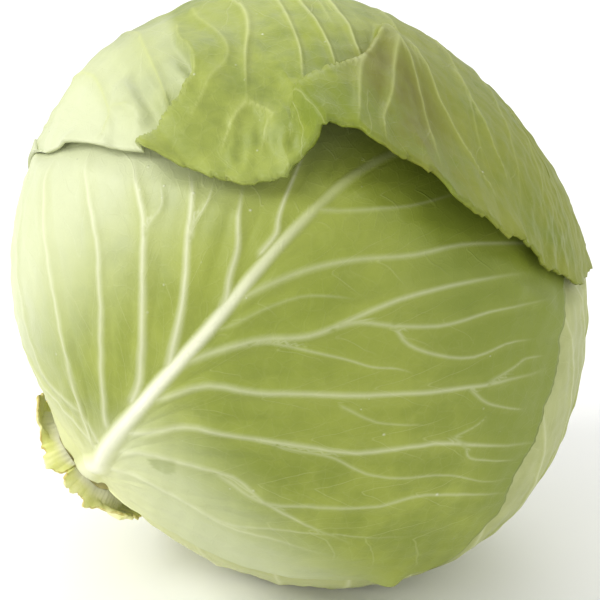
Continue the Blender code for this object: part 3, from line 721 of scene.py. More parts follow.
crown_leaf["ribs"] = (
    (0.8, 0.55, [(56, -12), (64, -8), (71, -6), (81, -6), (84, -9), (86, -13)]),
    (0.5, 0.35, [(81, -6), (82, -4), (84, -2), (85, 0)]),
    (0.8, 0.60, [(56, 4), (64, 6), (71, 7), (80, 8), (87, 8), (95, 7)]),
    (0.7, 0.35, [(58, 18), (66, 20), (72, 23), (81, 26), (88, 21), (94, 15), (100, 6)]),
    (0.9, 0.85, [(56, 26), (64, 30), (72, 31), (79, 30), (92, 28)]),
    (0.7, 0.60, [(92, 28), (95, 24), (98, 21), (103, 16)]),
    (0.7, 0.60, [(92, 28), (95, 34), (97, 32), (104, 27)]),
    (0.8, 0.80, [(50, 32), (58, 37), (66, 40), (76, 43), (90, 43)]),
    (0.8, 0.80, [(50, 38), (57, 42), (64, 46), (72, 50), (83, 53)]),
    (0.9, 0.85, [(48, 46), (53, 49), (59, 53), (66, 56), (74, 60)]),
    (0.7, 0.55, [(76, 60), (82, 58), (90, 56), (97, 54)]),
    (0.7, 0.60, [(58, 65), (66, 66), (81, 65), (90, 62), (96, 62)]),
    (0.8, 0.60, [(54, 62), (62, 67), (68, 72), (78, 77), (88, 80)]),
    (0.8, 0.60, [(50, 66), (62, 77), (67, 87), (68, 95), (66, 103)]),
    (0.8, 0.55, [(40, 78), (48, 90), (51, 97), (54, 107)]),
    # These two follow the left and right pleats: a painted highlight along each fold's crest.
    (0.4, 0.45, [(66, 15), (74, 16), (81, 19), (87, 18), (91, 13), (97, -1)]),
    (0.4, 0.45, [(62, 63), (70, 62), (76, 60), (84, 54), (92, 43)]),
)
leaves = {"front_leaf": front_leaf, "crown_leaf": crown_leaf, "under_leaf": under_leaf,
          "back_leaf": back_leaf}
print("leaves", list(leaves))

# %% [markdown]
# ## Relief of a leaf
#
# Seen close, a cabbage leaf is not smooth. The midrib is a broad rounded ridge that thins out
# towards the tip, the side ribs are round cords, and the blade is quilted between them.
# All of it is moved along the surface normal, so it shows at the outline too.

# %% Ribs, quilting and puckers
MIDRIB_HEIGHT, SIDE_RIB_HEIGHT = 2.6 * MM, 1.0 * MM
RIB_HALF_WIDTH = 0.95
QUILT, PUCKER = 0.35 * MM, 0.12 * MM
FAR_OFF = 4.0


def row_ribs(leaf, rows, out, spots, x):
    """Ribs that follow the rows: distance over width, signed by the side, and their strength."""
    number = np.clip(np.round((rows - FIRST_RIB) / RIB_EVERY), 0, LAST_RIB_NUMBER)
    off = (rows - (FIRST_RIB + RIB_EVERY * number))[:, None]
    gap = np.linalg.norm(np.gradient(spots, axis=0), axis=-1) / np.gradient(rows)[:, None]
    way = np.abs(out)
    width = RIB_HALF_WIDTH * (1.05 - 0.6 * way)
    strength = leaf["row_ribs"] * np.interp(rows, [0, 7, 8, 26, ROWS], [0, 0.9, 1.0, 0.7, 0.3])
    strength = strength[:, None] * np.clip(1.08 - way, 0, 1) * open_front(leaf, x)
    return number, off / (RIB_EVERY / 2), off * gap / width, strength


def open_front(leaf, x):
    """1 where ribs follow the rows, 0 where the leaf's ribs are drawn one by one."""
    return 1 - smooth((x - leaf["drawn_from"]) / 10) if "drawn_from" in leaf else 1.0


def smooth_line(knots, pieces=3):
    """Knots joined by Hermite cubics, each span cut in equal pieces."""
    numbered = [(i, *spot) for i, spot in enumerate(knots)]
    return curve_at(numbered, np.linspace(0, len(knots) - 1, pieces * (len(knots) - 1) + 1))


def drawn_ribs(leaf, x, y, signed, strength):
    """Each drawn rib tapers along its way; a place belongs to the rib it is nearest to."""
    for width, power, knots in leaf.get("ribs", ()):
        line = smooth_line(knots)
        low, high = line.min(axis=0) - 5, line.max(axis=0) + 5
        near = (x > low[0]) & (x < high[0]) & (y > low[1]) & (y < high[1])
        far, side, travel = distance_to_line(x[near], y[near], line)
        share = np.where(side >= 0, 1, -1) * far / (width * (1 - 0.55 * travel))
        power = power * smooth(travel * 14 + 0.45) * smooth((1.02 - travel) * 4)
        nearer = np.abs(share) < np.abs(signed[near])
        signed[near] = np.where(nearer, share, signed[near])
        strength[near] = np.where(nearer, power, strength[near])
    return signed, strength


def midrib_shape(rows, across):
    """Height and mask of the midrib: (1 - q^2)^1.5 over its half width, paler at its crest."""
    fade = np.interp(rows, [0, 10, 20, 26, ROWS], [1.0, 0.85, 0.5, 0.25, 0.08])[:, None]
    q = across[None, :]
    mask = smooth((1.0 - q) / 0.9) * np.interp(
        rows, [0, 12, 20, 23, 27, ROWS], [0.5, 0.8, 1.0, 0.75, 0.15, 0.06])[:, None]
    return MIDRIB_HEIGHT * fade * np.clip(1 - q ** 2, 0, 1) ** 1.5, mask


def quilt(share, out):
    """Between two ribs the blade bulges by sin(pi s), and along a rib it swells and sinks."""
    between = np.sin(np.pi * np.clip(np.abs(share), 0, 1))
    return QUILT * between * (0.6 + 0.4 * np.sin(19 * out)) * smooth(np.abs(out) * 6)


def puckers(x, y):
    """Four crossing sine waves on the pattern, 7 to 20 mm long, that never quite repeat."""
    return PUCKER * (np.sin(0.49 * x + 0.31 * y) + np.sin(0.83 * y - 0.27 * x + 1.0)
                     + 0.5 * np.sin(1.31 * x + 0.7 * y + 2 * np.sin(0.21 * y))
                     + 0.5 * np.sin(1.13 * y - 0.95 * x + 2 * np.sin(0.17 * x)))


PATCH, PATCH_CUT = (14.3, -34, 3.4), 30.6
GREEN_MIDDLE, BROWN_BLUSH = (7, 4, 25), (79, 68, 15)
WET_BESIDE_LOBE, WET_ON_LOBE = (-21, 1, 7), (101, 31, 6)


def nowhere(x, y):
    """No such place on this leaf."""
    return 0 * x


def front_bleached_and_sheen(x, y):
    """Pale on the left third, partly its own waxy colour, partly painted sheen; pale at its lower
    edge.
    """
    return np.maximum(0.85 * smooth((-3 - x) / 33), 0.72 * smooth((-16 - y) / 26) * smooth(x / 8))


def front_stain_and_shade(x, y):
    """A half round patch low on the leaf, deeper green in the middle, painted shade under the
    lobe.
    """
    across, up, size = PATCH
    patch = (smooth((size - np.hypot(x - across, y - up)) / 0.5)
             * smooth((x - 0.5 * y - PATCH_CUT) / 0.6))
    middle = 0.44 * bell(x, y, *GREEN_MIDDLE) * smooth((x + 16) / 16)
    # Painted shade: darker where the crown leaf's lobe hangs over the blade.
    shade_under_lobe = smooth((y + 0.35 * x - 22) / 16) * smooth((x + 12) / 10)
    return np.clip(0.4 * patch + middle + 0.75 * shade_under_lobe, 0, 1)


def crown_bleached_and_sheen(x, y):
    """Pale over the left of the head, partly its own colour, partly painted sheen; the left pleat
    is its edge.
    """
    far, side, _ = distance_to_line(x, y, [(46, 12), *LEFT_PLEAT, (104, -6)])
    # Painted sheen: the flank that faces the key light is made paler.
    lit_flank = smooth((1.6 - far * side) / 4.6) * smooth((x - 28) / 40)
    greener = (0.45 * smooth((x - 84) / 8) * smooth(y / 9)
               + 0.40 * smooth((x - 96) / 6) * smooth((2 - y) / 8))
    between = 0.07 * smooth((46 - y) / 16) * smooth((x - 30) / 20)
    return np.maximum(lit_flank * (0.52 + 0.36 * smooth((9 - y) / 22)) * (1 - greener), between)


def crown_stain_and_shade(x, y):
    """A brown green blush beside the right pleat, and painted shade over the right of the crown.
    """
    blush = bell(x, y, *BROWN_BLUSH)
    # The second term is painted shade: darker over the right of the crown, turned from the key
    # light.
    return np.clip(0.84 * blush + 0.42 * smooth((y - 48) / 20), 0, 1)


def front_wet(x, y):
    """Chance of a water drop: a cluster left of the crown leaf's lobe, and a few all over."""
    return 0.02 + 0.55 * bell(x, y, *WET_BESIDE_LOBE)


def crown_wet(x, y):
    """Chance of a water drop: a cluster on the lobe beside the right pleat."""
    return 0.02 + 0.5 * bell(x, y, *WET_ON_LOBE)


def fade_up(rows):
    """1 at the base of the midrib, down to 0.15 at the tip."""
    return np.interp(rows, [0, 12, 24, ROWS], [1.0, 0.9, 0.5, 0.15])[:, None]


def rungs(rows, out, share, number):
    """Phase of the small veins: they leave a rib every twentieth of it and slant outwards."""
    slant = 2.7 * np.clip(1 - np.abs(share), 0, 1) ** 1.3
    return 20 * np.abs(out) + slant + number[:, None]


def bareness(leaf, ways):
    """1 in the open, down to 0.25 where another leaf or the torn bases press on the ribs."""
    over = np.zeros(ways.shape[:-1])
    for name in leaf["over"]:
        over = np.maximum(over, covered(leaves[name], ways))
    return (1 - 0.75 * over) * (0.4 + 0.6 * smooth((0.94 + ways[..., 2]) / 0.06))


print("side rib height, mm", SIDE_RIB_HEIGHT / MM)

# %% [markdown]
# ## Making a wrapper leaf
#
# The grid is wrapped on the head, moved by its height and relief, and closed. Every vertex
# also keeps a few measures of where it is on the leaf, because the colour of a leaf follows
# its ribs, base and margin, and a material can read them.

# %% Build a leaf
def press_flat(points, lowest):
    """Everything below a height is raised to it, the way the head's weight flattens a leaf."""
    points = points.copy()
    points[..., 2] = np.maximum(points[..., 2], lowest)
    return points


def leaf_relief(leaf, rows, out, spots, across, ways):
    """All relief above the sheet, and the measures that the colour will follow."""
    x, y = spots[..., 0], spots[..., 1]
    number, share, signed, strength = row_ribs(leaf, rows, out, spots, x)
    signed = np.where(strength > 0.02, signed, FAR_OFF)
    signed, strength = drawn_ribs(leaf, x, y, signed, strength)
    mid_height, mid_mask = midrib_shape(rows, across)
    side_height = SIDE_RIB_HEIGHT * strength ** 0.6 * np.exp(-(signed / 1.5) ** 2)
    relief = np.maximum(mid_height, side_height) * leaf["rib_scale"]
    relief = (relief + quilt(share, out) + puckers(x, y)) * bareness(leaf, ways)
    base_x, base_y = leaf["midrib"][0][1:]
    from_base = np.hypot(x - base_x, y - base_y) / leaf["pale_reach"]
    crest = across[None, :] * midrib_half_width(rows)[:, None] * leaf["rib_scale"]
    halo = np.maximum(strength * np.exp(-np.abs(signed) / 3),
                      np.exp(-crest / 3.5) * fade_up(rows))
    measures = {"midrib": mid_mask, "rib_side": np.clip(signed, -FAR_OFF, FAR_OFF),
                "rib_far": np.clip(np.abs(signed), 0, FAR_OFF), "rib_strength": strength,
                "halo": halo, "pale": smooth(1.35 - from_base),
                # The pale measure here also paints sheen on the lit side, and the stain measure
                # also paints shade.
                "bleached": leaf["bleached"](x, y), "stained": leaf["stained"](x, y),
                "wet": leaf["wet"](x, y), "rung": rungs(rows, out, share, number),
                "share": np.abs(share)}
    return relief, measures


def make_leaf(name, leaf):
    """Pattern to sheet to outer and inner face, closed round the margin and marked."""
    rows, spots, out, across = leaf_grid(leaf)
    down, wide = out.shape
    x, y = spots[..., 0], spots[..., 1]
    ways = map_to_head(leaf["centre"], x, y)
    height = leaf["height"](x, y, rows[:, None], out, ways)
    relief, measures = leaf_relief(leaf, rows, out, spots, across, ways)
    if "leaning" in leaf:
        ways = map_to_head(leaf["centre"], *leaf["leaning"](x, y))
    sheet = (ways * (head_radius(ways) + height)[..., None]).reshape(-1, 3)
    vertex = welded(down, wide)
    inner_vertex = welded((down + 1) // 2, (wide + 1) // 2)
    outer_faces, shell = close_blade(vertex, inner_vertex + down * wide)
    normals = sheet_normals(sheet, outer_faces)
    outer = sheet + normals * relief.reshape(-1, 1)
    inner = (sheet - normals * BLADE).reshape(down, wide, 3)[::2, ::2].reshape(-1, 3)
    outer = press_flat(to_world(outer), leaf["lowest"])
    inner = press_flat(to_world(inner), leaf["lowest"] + BLADE)
    both = {label: on_both_faces(value + 0 * x) for label, value in measures.items()}
    body = make_mesh(name + "_grown", np.concatenate([outer, inner]), shell, both)
    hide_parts(name)
    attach(body, "root")
    print(name, "triangles", len(body.data.polygons))
    return body


for leaf in leaves.values():
    leaf["bleached"] = leaf["stained"] = leaf["wet"] = nowhere
# Front and crown leaves get pale places with painted sheen, and stains with painted shade.
front_leaf.update(bleached=front_bleached_and_sheen, stained=front_stain_and_shade, wet=front_wet)
crown_leaf.update(bleached=crown_bleached_and_sheen, stained=crown_stain_and_shade, wet=crown_wet)
bodies = {name: make_leaf(name, leaf) for name, leaf in leaves.items()}

# %% [markdown]
# ## The heart
#
# Inside the wrapper leaves is the part that is eaten: a dense ball of leaves. It hardly shows,
# only down in the gaps, so it is one closed ball with the edges of its outermost leaves on it.

# %% Build the heart
HEART_LAYER, UNDER_LAPS = -6.6 * MM, 1.6 * MM
LAP_STEP, HEART_RIB = 0.5 * MM, 0.5 * MM
STEM_ROOT, STEM_END, STEM_RADIUS, GAP = 71.5 * MM, 86.5 * MM, 13.4 * MM, 0.4 * MM
LAPS = ((-60, 70), (60, 75), (180, 65), (120, 110), (0, 120), (240, 115))


def ring_faces(rings, around):
    """Two triangles for each square of a tube of rings, closed round."""
    here = np.arange((rings - 1) * around).reshape(rings - 1, around)
    after = np.roll(here, -1, axis=1)
    first = np.stack([here, after, after + around], axis=-1)
    second = np.stack([here, after + around, here + around], axis=-1)
    return np.concatenate([first.reshape(-1, 3), second.reshape(-1, 3)])


def end_fans(rings, around):
    """Triangles from a start point and an end point to the first and last ring."""
    ring = np.arange(around)
    after = np.roll(ring, -1)
    start, end = rings * around + 0 * ring, rings * around + 1 + 0 * ring
    last = (rings - 1) * around
    return np.concatenate([np.stack([start, after, ring], 1),
                           np.stack([last + ring, last + after, end], 1)])


def heart_relief(ways):
    """A 0.5 mm step along each lapped leaf, and ribs as the 4th power of a cosine round it."""
    lap = sum(LAP_STEP * smooth((ways @ direction(stem, around) - 0.45) / 0.05)
              for around, stem in LAPS)
    turn = np.arctan2(ways[..., 1], ways[..., 0])
    rib = HEART_RIB * np.maximum(np.cos(9 * turn + 3 * ways[..., 2]), 0) ** 4
    return lap - UNDER_LAPS + rib * (1 - ways[..., 2] ** 2)


def ball_directions(polar, around):
    """Unit vectors of a grid of polar angles and even longitudes."""
    t, p = np.radians(polar), np.radians(np.arange(around)[None, :] * 360 / around)
    return np.stack([np.sin(t) * np.cos(p), np.sin(t) * np.sin(p), -np.cos(t) + 0 * p], axis=-1)


def make_heart(rings=96, around=144):
    """A ball of directions times the head's radius, cut flat where the stem starts."""
    polar = np.linspace(0, 180, rings + 2)[1:-1, None]
    ways = ball_directions(polar, around)
    ball = ways * (head_radius(ways) + HEART_LAYER + heart_relief(ways))[..., None]
    tip = HEAD_LONG / 2 + HEART_LAYER
    points = np.concatenate([ball.reshape(-1, 3), [[0, 0, -tip], [0, 0, tip]]])
    points[:, 2] = np.maximum(points[:, 2], -STEM_ROOT)
    points = press_flat(to_world(points), 2 * FLOOR_STEP)
    faces = np.concatenate([ring_faces(rings, around), end_fans(rings, around)])
    turn = np.concatenate([ways[..., 2].ravel(), [-1, 1]])
    body = make_mesh("heart_grown", points, faces, {"up": turn})
    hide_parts("heart")
    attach(body, "root")
    return body


bodies["heart"] = make_heart()
print("heart triangles", len(bodies["heart"].data.polygons))

# %% [markdown]
# ## The cut stem
#
# The stub is the tough core of the plant, sawn or cut across. Its face is slightly hollow,
# because the soft pith shrinks first, and its rim is rounded by drying.

# %% Build the stem
RIM, HOLLOW, PITH = 1.2 * MM, 1.3 * MM, 0.5 * MM


def make_stem(around=96):
    """Rings of a slightly uneven circle: down the side, over the rim, into the hollow face."""
    turn = np.arange(around) * 2 * np.pi / around
    uneven = (1 + 0.04 * np.cos(2 * turn + 0.5) + 0.02 * np.cos(5 * turn)
              + 0.012 * np.cos(17 * turn + 1.0))
    side = np.linspace(0, 1, 24)
    bend = np.linspace(0.2, 1.57, 8)
    depth = np.concatenate([STEM_ROOT + GAP + side * (STEM_END - STEM_ROOT - GAP - RIM),
                            STEM_END - RIM * np.cos(bend) ** 2,
                            STEM_END - HOLLOW * smooth(np.linspace(0.05, 1, 16))
                            + PITH * smooth(np.linspace(-0.4, 1, 16))])
    width = np.concatenate([1 - 0.03 * side, 0.97 - 0.10 * np.sin(bend) ** 2,
                            np.linspace(0.85, 0.06, 16)])
    fibre = 1 + 0.006 * np.sin(9 * turn[None, :] + depth[:, None] / MM)
    radius = STEM_RADIUS * width[:, None] * uneven * fibre
    points = np.stack([radius * np.cos(turn), radius * np.sin(turn),
                       -depth[:, None] + 0 * radius], axis=-1).reshape(-1, 3)
    points = np.concatenate([points, [[0, 0, -STEM_ROOT - GAP], [0, 0, -depth[-1]]]])
    faces = np.concatenate([ring_faces(len(depth), around), end_fans(len(depth), around)])
    body = make_mesh("stem_cut", to_world(points), faces[:, ::-1],
                     {"ray": np.concatenate([(width[:, None] + 0 * radius).ravel(), [0, 0]])})
    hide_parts("stem")
    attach(body, "root")
    return body


bodies["stem"] = make_stem()
print("stem triangles", len(bodies["stem"].data.polygons))

# %% [markdown]
# ## The torn bases of outer leaves
#
# The field leaves are broken off before a cabbage is sold. What stays is a ragged frill round
# the stem: thick at the root, ruffled, yellow-green, and brown where it has dried.

# %% Build the torn bases
torn_leaves = {"torn_leaf_1": (-154, -1, 0.0), "torn_leaf_2": (1, 124, 1.7),
               "torn_leaf_3": (127, 203, 3.1)}
TORN_ROOT, TORN_WIDE, COLLAR_FOOT = 14.6 * MM, 7.5 * MM, 83.0 * MM
TORN_FOOT, TORN_RISE, RUFFLE = 3.0 * MM, 5.2 * MM, 0.65 * MM
TORN_THICK, TORN_THINNER = 1.2 * MM, 0.4 * MM
COLLAR_HALF_TURN = 62


def torn_sheet(first, last, phase, u, v):
    """A strip round the stem with a sum of sines as its torn edge.

    It lies on the head as a ruffled rosette, and towards the front it blends into a collar
    that stands round the stub.
    """
    end = np.clip(np.minimum(u, 1 - u) * 25, 0, 1) ** 0.5
    ragged = (1 + 0.10 * np.sin(15 * u + phase) + 0.10 * np.sin(37 * u + 2 * phase)
              + 0.05 * np.sin(91 * u + phase) + 0.03 * np.sin(173 * u))
    turn = np.radians(first + (last - first) * u) + 0 * v
    beat = 1.9 + np.sin(23 * u + phase) + 0.6 * np.sin(51 * u) + 0.3 * np.sin(97 * u + phase)
    ruffle = RUFFLE * v * beat
    wide = TORN_WIDE * v * ragged * (0.45 + 0.55 * end)
    radius = TORN_ROOT + wide
    ways = np.stack([radius * np.cos(turn), radius * np.sin(turn),
                     -np.sqrt((HEAD_LONG / 2) ** 2 - radius ** 2) + 0 * turn], axis=-1)
    ways = ways / np.linalg.norm(ways, axis=-1, keepdims=True)
    rise = TORN_RISE * smooth(v / 0.4) - TORN_FOOT
    lying = ways * (head_radius(ways) + rise + ruffle)[..., None]
    collar = TORN_ROOT + 0.34 * wide + 0.9 * ruffle
    standing = np.stack([collar * np.cos(turn), collar * np.sin(turn),
                         -COLLAR_FOOT - 0.70 * wide + 0 * turn], axis=-1)
    front = smooth((COLLAR_HALF_TURN - np.abs(np.degrees(turn))) / 28)[..., None]
    return ((1 - front) * lying + front * standing).reshape(-1, 3)


def make_torn_leaf(name, first, last, phase, around=221, out=33):
    """The torn sheet given a thickness, half to either side, and closed round four edges."""
    u, v = np.linspace(0, 1, around)[None, :], np.linspace(0, 1, out)[:, None]
    sheet = torn_sheet(first, last, phase, u, v)
    vertex = np.arange(around * out).reshape(out, around)[:, ::-1]
    half = (out + 1) // 2, (around + 1) // 2
    inner_vertex = np.arange(half[0] * half[1]).reshape(half)[:, ::-1] + around * out
    outer_faces, shell = close_blade(vertex, inner_vertex, four_edges)
    thick = (TORN_THICK - TORN_THINNER * v + 0 * u).reshape(-1, 1)
    aside = sheet_normals(sheet, outer_faces) * thick / 2
    outer = to_world(sheet + aside)
    inner = to_world(sheet - aside).reshape(out, around, 3)[::2, ::2].reshape(-1, 3)
    body = make_mesh(name + "_grown", np.concatenate([outer, inner]), shell,
                     {"out": on_both_faces(v + 0 * u), "round": on_both_faces(u + 0 * v)})
    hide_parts(name)
    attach(body, "root")
    return body


for name, (first, last, phase) in torn_leaves.items():
    bodies[name] = make_torn_leaf(name, first, last, phase)
    print(name, "triangles", len(bodies[name].data.polygons))

# %% [markdown]
# ## Node helpers
#
# A material is a small program. Helpers keep it readable: one turns the colour of a paint
# chip into Blender's linear light, one adds a node with its settings and inputs, the others
# are the few sums that every finish uses, and the last wires a look into a material.

# %% Colours and nodes
def tone(chip):
    """Linear colour of a six digit chip: ((c + 0.055) / 1.055) ^ 2.4 above the dark toe."""
    parts = np.array([int(chip[i:i + 2], 16) for i in (0, 2, 4)]) / 255
    linear = np.where(parts <= 0.04045, parts / 12.92, ((parts + 0.055) / 1.055) ** 2.4)
    return (*map(float, linear), 1.0)


def add(tree, kind, inputs=None, **settings):
    """A node with its settings, its sockets linked to other sockets or set to numbers."""
    node = tree.nodes.new("ShaderNode" + kind)
    for key, value in settings.items():
        setattr(node, key, value)
    for socket, value in (inputs or {}).items():
        if isinstance(value, bpy.types.NodeSocket):
            tree.links.new(value, node.inputs[socket])
        else:
            node.inputs[socket].default_value = value
    return node


def reckon(tree, operation, first, second=0.0, clamp=False):
    """One Math node."""
    return add(tree, "Math", {0: first, 1: second}, operation=operation,
               use_clamp=clamp).outputs[0]


def plus(tree, first, second):
    """Their sum."""
    return reckon(tree, "ADD", first, second)


def times(tree, first, second):
    """Their product."""
    return reckon(tree, "MULTIPLY", first, second)


def span(tree, value, low, high, to_low=0.0, to_high=1.0):
    """A smooth step of a value from one range to another."""
    return add(tree, "MapRange", {"Value": value, "From Min": low, "From Max": high,
                                  "To Min": to_low, "To Max": to_high},
               interpolation_type="SMOOTHSTEP").outputs[0]


def blend(tree, factor, below, above):
    """One colour laid over another."""
    return add(tree, "Mix", {"Factor": factor, 6: below, 7: above}, data_type="RGBA").outputs[2]


def measure(tree, label):
    """A value kept on the mesh."""
    return add(tree, "Attribute", attribute_name=label).outputs["Fac"]


def noise(tree, place, scale, detail=3.0, rough=0.55, distort=0.0):
    """Fractal noise on the piece's own coordinates."""
    return add(tree, "TexNoise", {"Vector": place, "Scale": scale, "Detail": detail,
                                  "Roughness": rough, "Distortion": distort}).outputs["Fac"]


def own_place(tree):
    """The piece's own coordinates, in metres."""
    return add(tree, "TexCoord").outputs["Object"]


def finished(name, look, bump, depth):
    """A waxy material whose colour, roughness and bump height come from its look function."""
    material = bpy.data.materials.new(name)
    material.use_nodes = True
    tree = material.node_tree
    shader = tree.nodes["Principled BSDF"]
    colour, rough, height = look(tree)
    ripple = add(tree, "Bump", {"Strength": bump, "Distance": depth, "Height": height})
    tree.links.new(colour, shader.inputs["Base Color"])
    tree.links.new(rough, shader.inputs["Roughness"])
    tree.links.new(ripple.outputs["Normal"], shader.inputs["Normal"])
    shader.inputs["Specular IOR Level"].default_value = 0.30
    return material


print("a chip of cabbage green", [round(c, 3) for c in tone("969C44")])

# %% [markdown]
# ## The skin of a leaf
#
# Leaf green is not one colour. It clouds from yellow green to blue green over a few
# millimetres, pales to cream at the base and along the ribs, and carries a net of fine veins.
# All the wrapper leaves share this, so it is one node group that each leaf mixes its own way.

# %% The leaf skin group
def water_drops(group, place):
    """Round lenses in random cells of 2.4 mm, as many of them as the wet measure allows."""
    cell = add(group, "TexVoronoi", {"Vector": place, "Scale": 420.0}, feature="F1")
    dice = add(group, "SeparateColor", {"Color": cell.outputs["Color"]}).outputs
    reach = plus(group, times(group, dice["Red"], 0.22), 0.08)
    lens = span(group, reckon(group, "DIVIDE", cell.outputs["Distance"], reach), 1.0, 0.1)
    here = reckon(group, "GREATER_THAN", measure(group, "wet"), dice["Green"])
    return times(group, lens, here)


def vein_net(group, place):
    """Edges of two bent cell patterns, of 4 and of 1.4 mm: the finest veins of the leaf."""
    wander = add(group, "TexNoise", {"Vector": place, "Scale": 110.0, "Detail": 2.0})
    push = add(group, "VectorMath", {0: wander.outputs["Color"], "Scale": 0.004},
               operation="SCALE").outputs[0]
    bent = add(group, "VectorMath", {0: place, 1: push}, operation="ADD").outputs[0]
    wide, narrow = [span(group, add(group, "TexVoronoi", {"Vector": bent, "Scale": scale},
                                    feature="DISTANCE_TO_EDGE").outputs["Distance"], edge, 0.0)
                    for scale, edge in ((230.0, 0.07), (700.0, 0.10))]
    return plus(group, times(group, wide, 0.7), times(group, narrow, 0.3))


def small_veins(group, place):
    """A line half way between two whole numbers of the rung phase, each faded by chance."""
    phase = plus(group, measure(group, "rung"), times(group, noise(group, place, 70, 2), 1.6))
    crest = reckon(group, "ABSOLUTE",
                   reckon(group, "SUBTRACT", reckon(group, "FRACT", phase), 0.5))
    chance = add(group, "TexWhiteNoise", {"W": reckon(group, "FLOOR", phase)},
                 noise_dimensions="1D").outputs["Value"]
    seen = times(group, span(group, crest, 0.09, 0.0), span(group, chance, 0.2, 0.9))
    return times(group, seen, span(group, measure(group, "share"), 1.0, 0.35))


def rib_lines(group, strength):
    """A soft band and a lighter crest along every side rib, and the midrib's own mask."""
    beside = reckon(group, "MAXIMUM", reckon(group, "ABSOLUTE", measure(group, "rib_side")),
                    reckon(group, "SUBTRACT", measure(group, "rib_far"), 0.5))
    line = plus(group, span(group, beside, 1.35, 0.1, 0.0, 0.52),
                span(group, beside, 0.50, 0.0, 0.0, 0.24))
    line = times(group, line, measure(group, "rib_strength"))
    rib = reckon(group, "MAXIMUM", line, measure(group, "midrib"))
    return reckon(group, "MULTIPLY", rib, strength, clamp=True)


# The pale colour also serves as painted sheen, and the stain colour also as painted shade.
SKIN_COLOURS = {"Young Green": "8E983B", "Old Green": "78842A", "Vein": "BFC488",
                "Rib": "F0F0DA", "Halo": "A6AD5A", "Base": "CFD29B", "Bleached": "CDD2AC",
                "Stain": "68681A"}
SKIN_STRENGTHS = {"Net": 0.06, "Small Veins": 0.22, "Halo Strength": 0.65,
                  "Rib Strength": 0.9, "Base Strength": 0.9}
SKIN_PUTS_OUT = {"Color": "NodeSocketColor", "Roughness": "NodeSocketFloat",
                 "Height": "NodeSocketFloat"}
# Painted highlight: the water drops are lightened towards this colour, as if catching the light.
DROP_PAINTED_HIGHLIGHT = "F6F8E6"


def skin_sockets(face):
    """What each leaf may set, with the usual values, and what the skin puts out."""
    for label, chip in SKIN_COLOURS.items():
        socket = face.new_socket(label, in_out="INPUT", socket_type="NodeSocketColor")
        socket.default_value = tone(chip)
    for label, value in SKIN_STRENGTHS.items():
        socket = face.new_socket(label, in_out="INPUT", socket_type="NodeSocketFloat")
        socket.default_value = value
    for label, kind in SKIN_PUTS_OUT.items():
        face.new_socket(label, in_out="OUTPUT", socket_type=kind)


def leaf_skin_group():
    """Clouded green, veins, pale places with painted sheen, stains, painted shade, halos, base,
    ribs, drops.
    """
    group = bpy.data.node_groups.new("leaf_skin", "ShaderNodeTree")
    skin_sockets(group.interface)
    entry = group.nodes.new("NodeGroupInput").outputs
    place = own_place(group)
    cloud, spots = noise(group, place, 34, 4, 0.6, 0.4), noise(group, place, 160, 3, 0.6)
    mottle = plus(group, times(group, cloud, 0.75), times(group, spots, 0.25))
    net, small = vein_net(group, place), small_veins(group, place)
    drop = water_drops(group, place)
    colour = entry["Old Green"]
    for share, above in (
            (span(group, mottle, 0.36, 0.64), entry["Young Green"]),
            (times(group, net, entry["Net"]), entry["Vein"]),
            (times(group, small, entry["Small Veins"]), entry["Vein"]),
            # Pale colour, with painted sheen on the side the key light falls on.
            (measure(group, "bleached"), entry["Bleached"]),
            # Stains, and painted shade where the stain measure holds it.
            (times(group, measure(group, "stained"), span(group, mottle, 0.25, 0.60)),
             entry["Stain"]),
            (times(group, measure(group, "halo"), entry["Halo Strength"]), entry["Halo"]),
            (times(group, measure(group, "pale"), entry["Base Strength"]), entry["Base"]),
            (rib_lines(group, entry["Rib Strength"]), entry["Rib"]),
            # Painted highlight on the drops.
            (times(group, drop, 0.3), tone(DROP_PAINTED_HIGHLIGHT))):
        colour = blend(group, share, colour, above)
    height = times(group, small, 0.8)
    for part, share in ((net, 0.3), (spots, 0.5), (drop, 3.0)):
        height = plus(group, height, times(group, part, share))
    rough = plus(group, span(group, cloud, 0.3, 0.7, 0.36, 0.50),
                 times(group, noise(group, place, 900, 2), 0.08))
    rough = times(group, rough, span(group, drop, 0.0, 0.5, 1.0, 0.15))
    leave = group.nodes.new("NodeGroupOutput").inputs
    for label, value in zip(SKIN_PUTS_OUT, (colour, rough, height)):
        group.links.new(value, leave[label])
    return group


leaf_skin = leaf_skin_group()
print("leaf skin inputs", [item.name for item in leaf_skin.interface.items_tree][:12])

# %% [markdown]
# ## One green for each leaf
#
# The front leaf is a clear olive green, with painted shade under the crown leaf's lobe. The
# crown leaf has seen more sun, so its ribs are greener; its left flank is pale, partly with
# painted sheen from the key light, a brown green blush lies beside its right pleat, and
# painted shade darkens its right. The under leaf and the back leaf grew in the shade and are pale.

# %% Leaf materials
def leaf_material(name, colours, strengths):
    """The skin group with this leaf's colours and strengths, and a bump from its height."""
    def look(tree):
        skin = tree.nodes.new("ShaderNodeGroup")
        skin.node_tree = leaf_skin
        for label, chip in colours.items():
            skin.inputs[label].default_value = tone(chip)
        for label, value in strengths.items():
            skin.inputs[label].default_value = value
        return skin.outputs["Color"], skin.outputs["Roughness"], skin.outputs["Height"]
    return finished(name, look, 0.25, 0.0006)


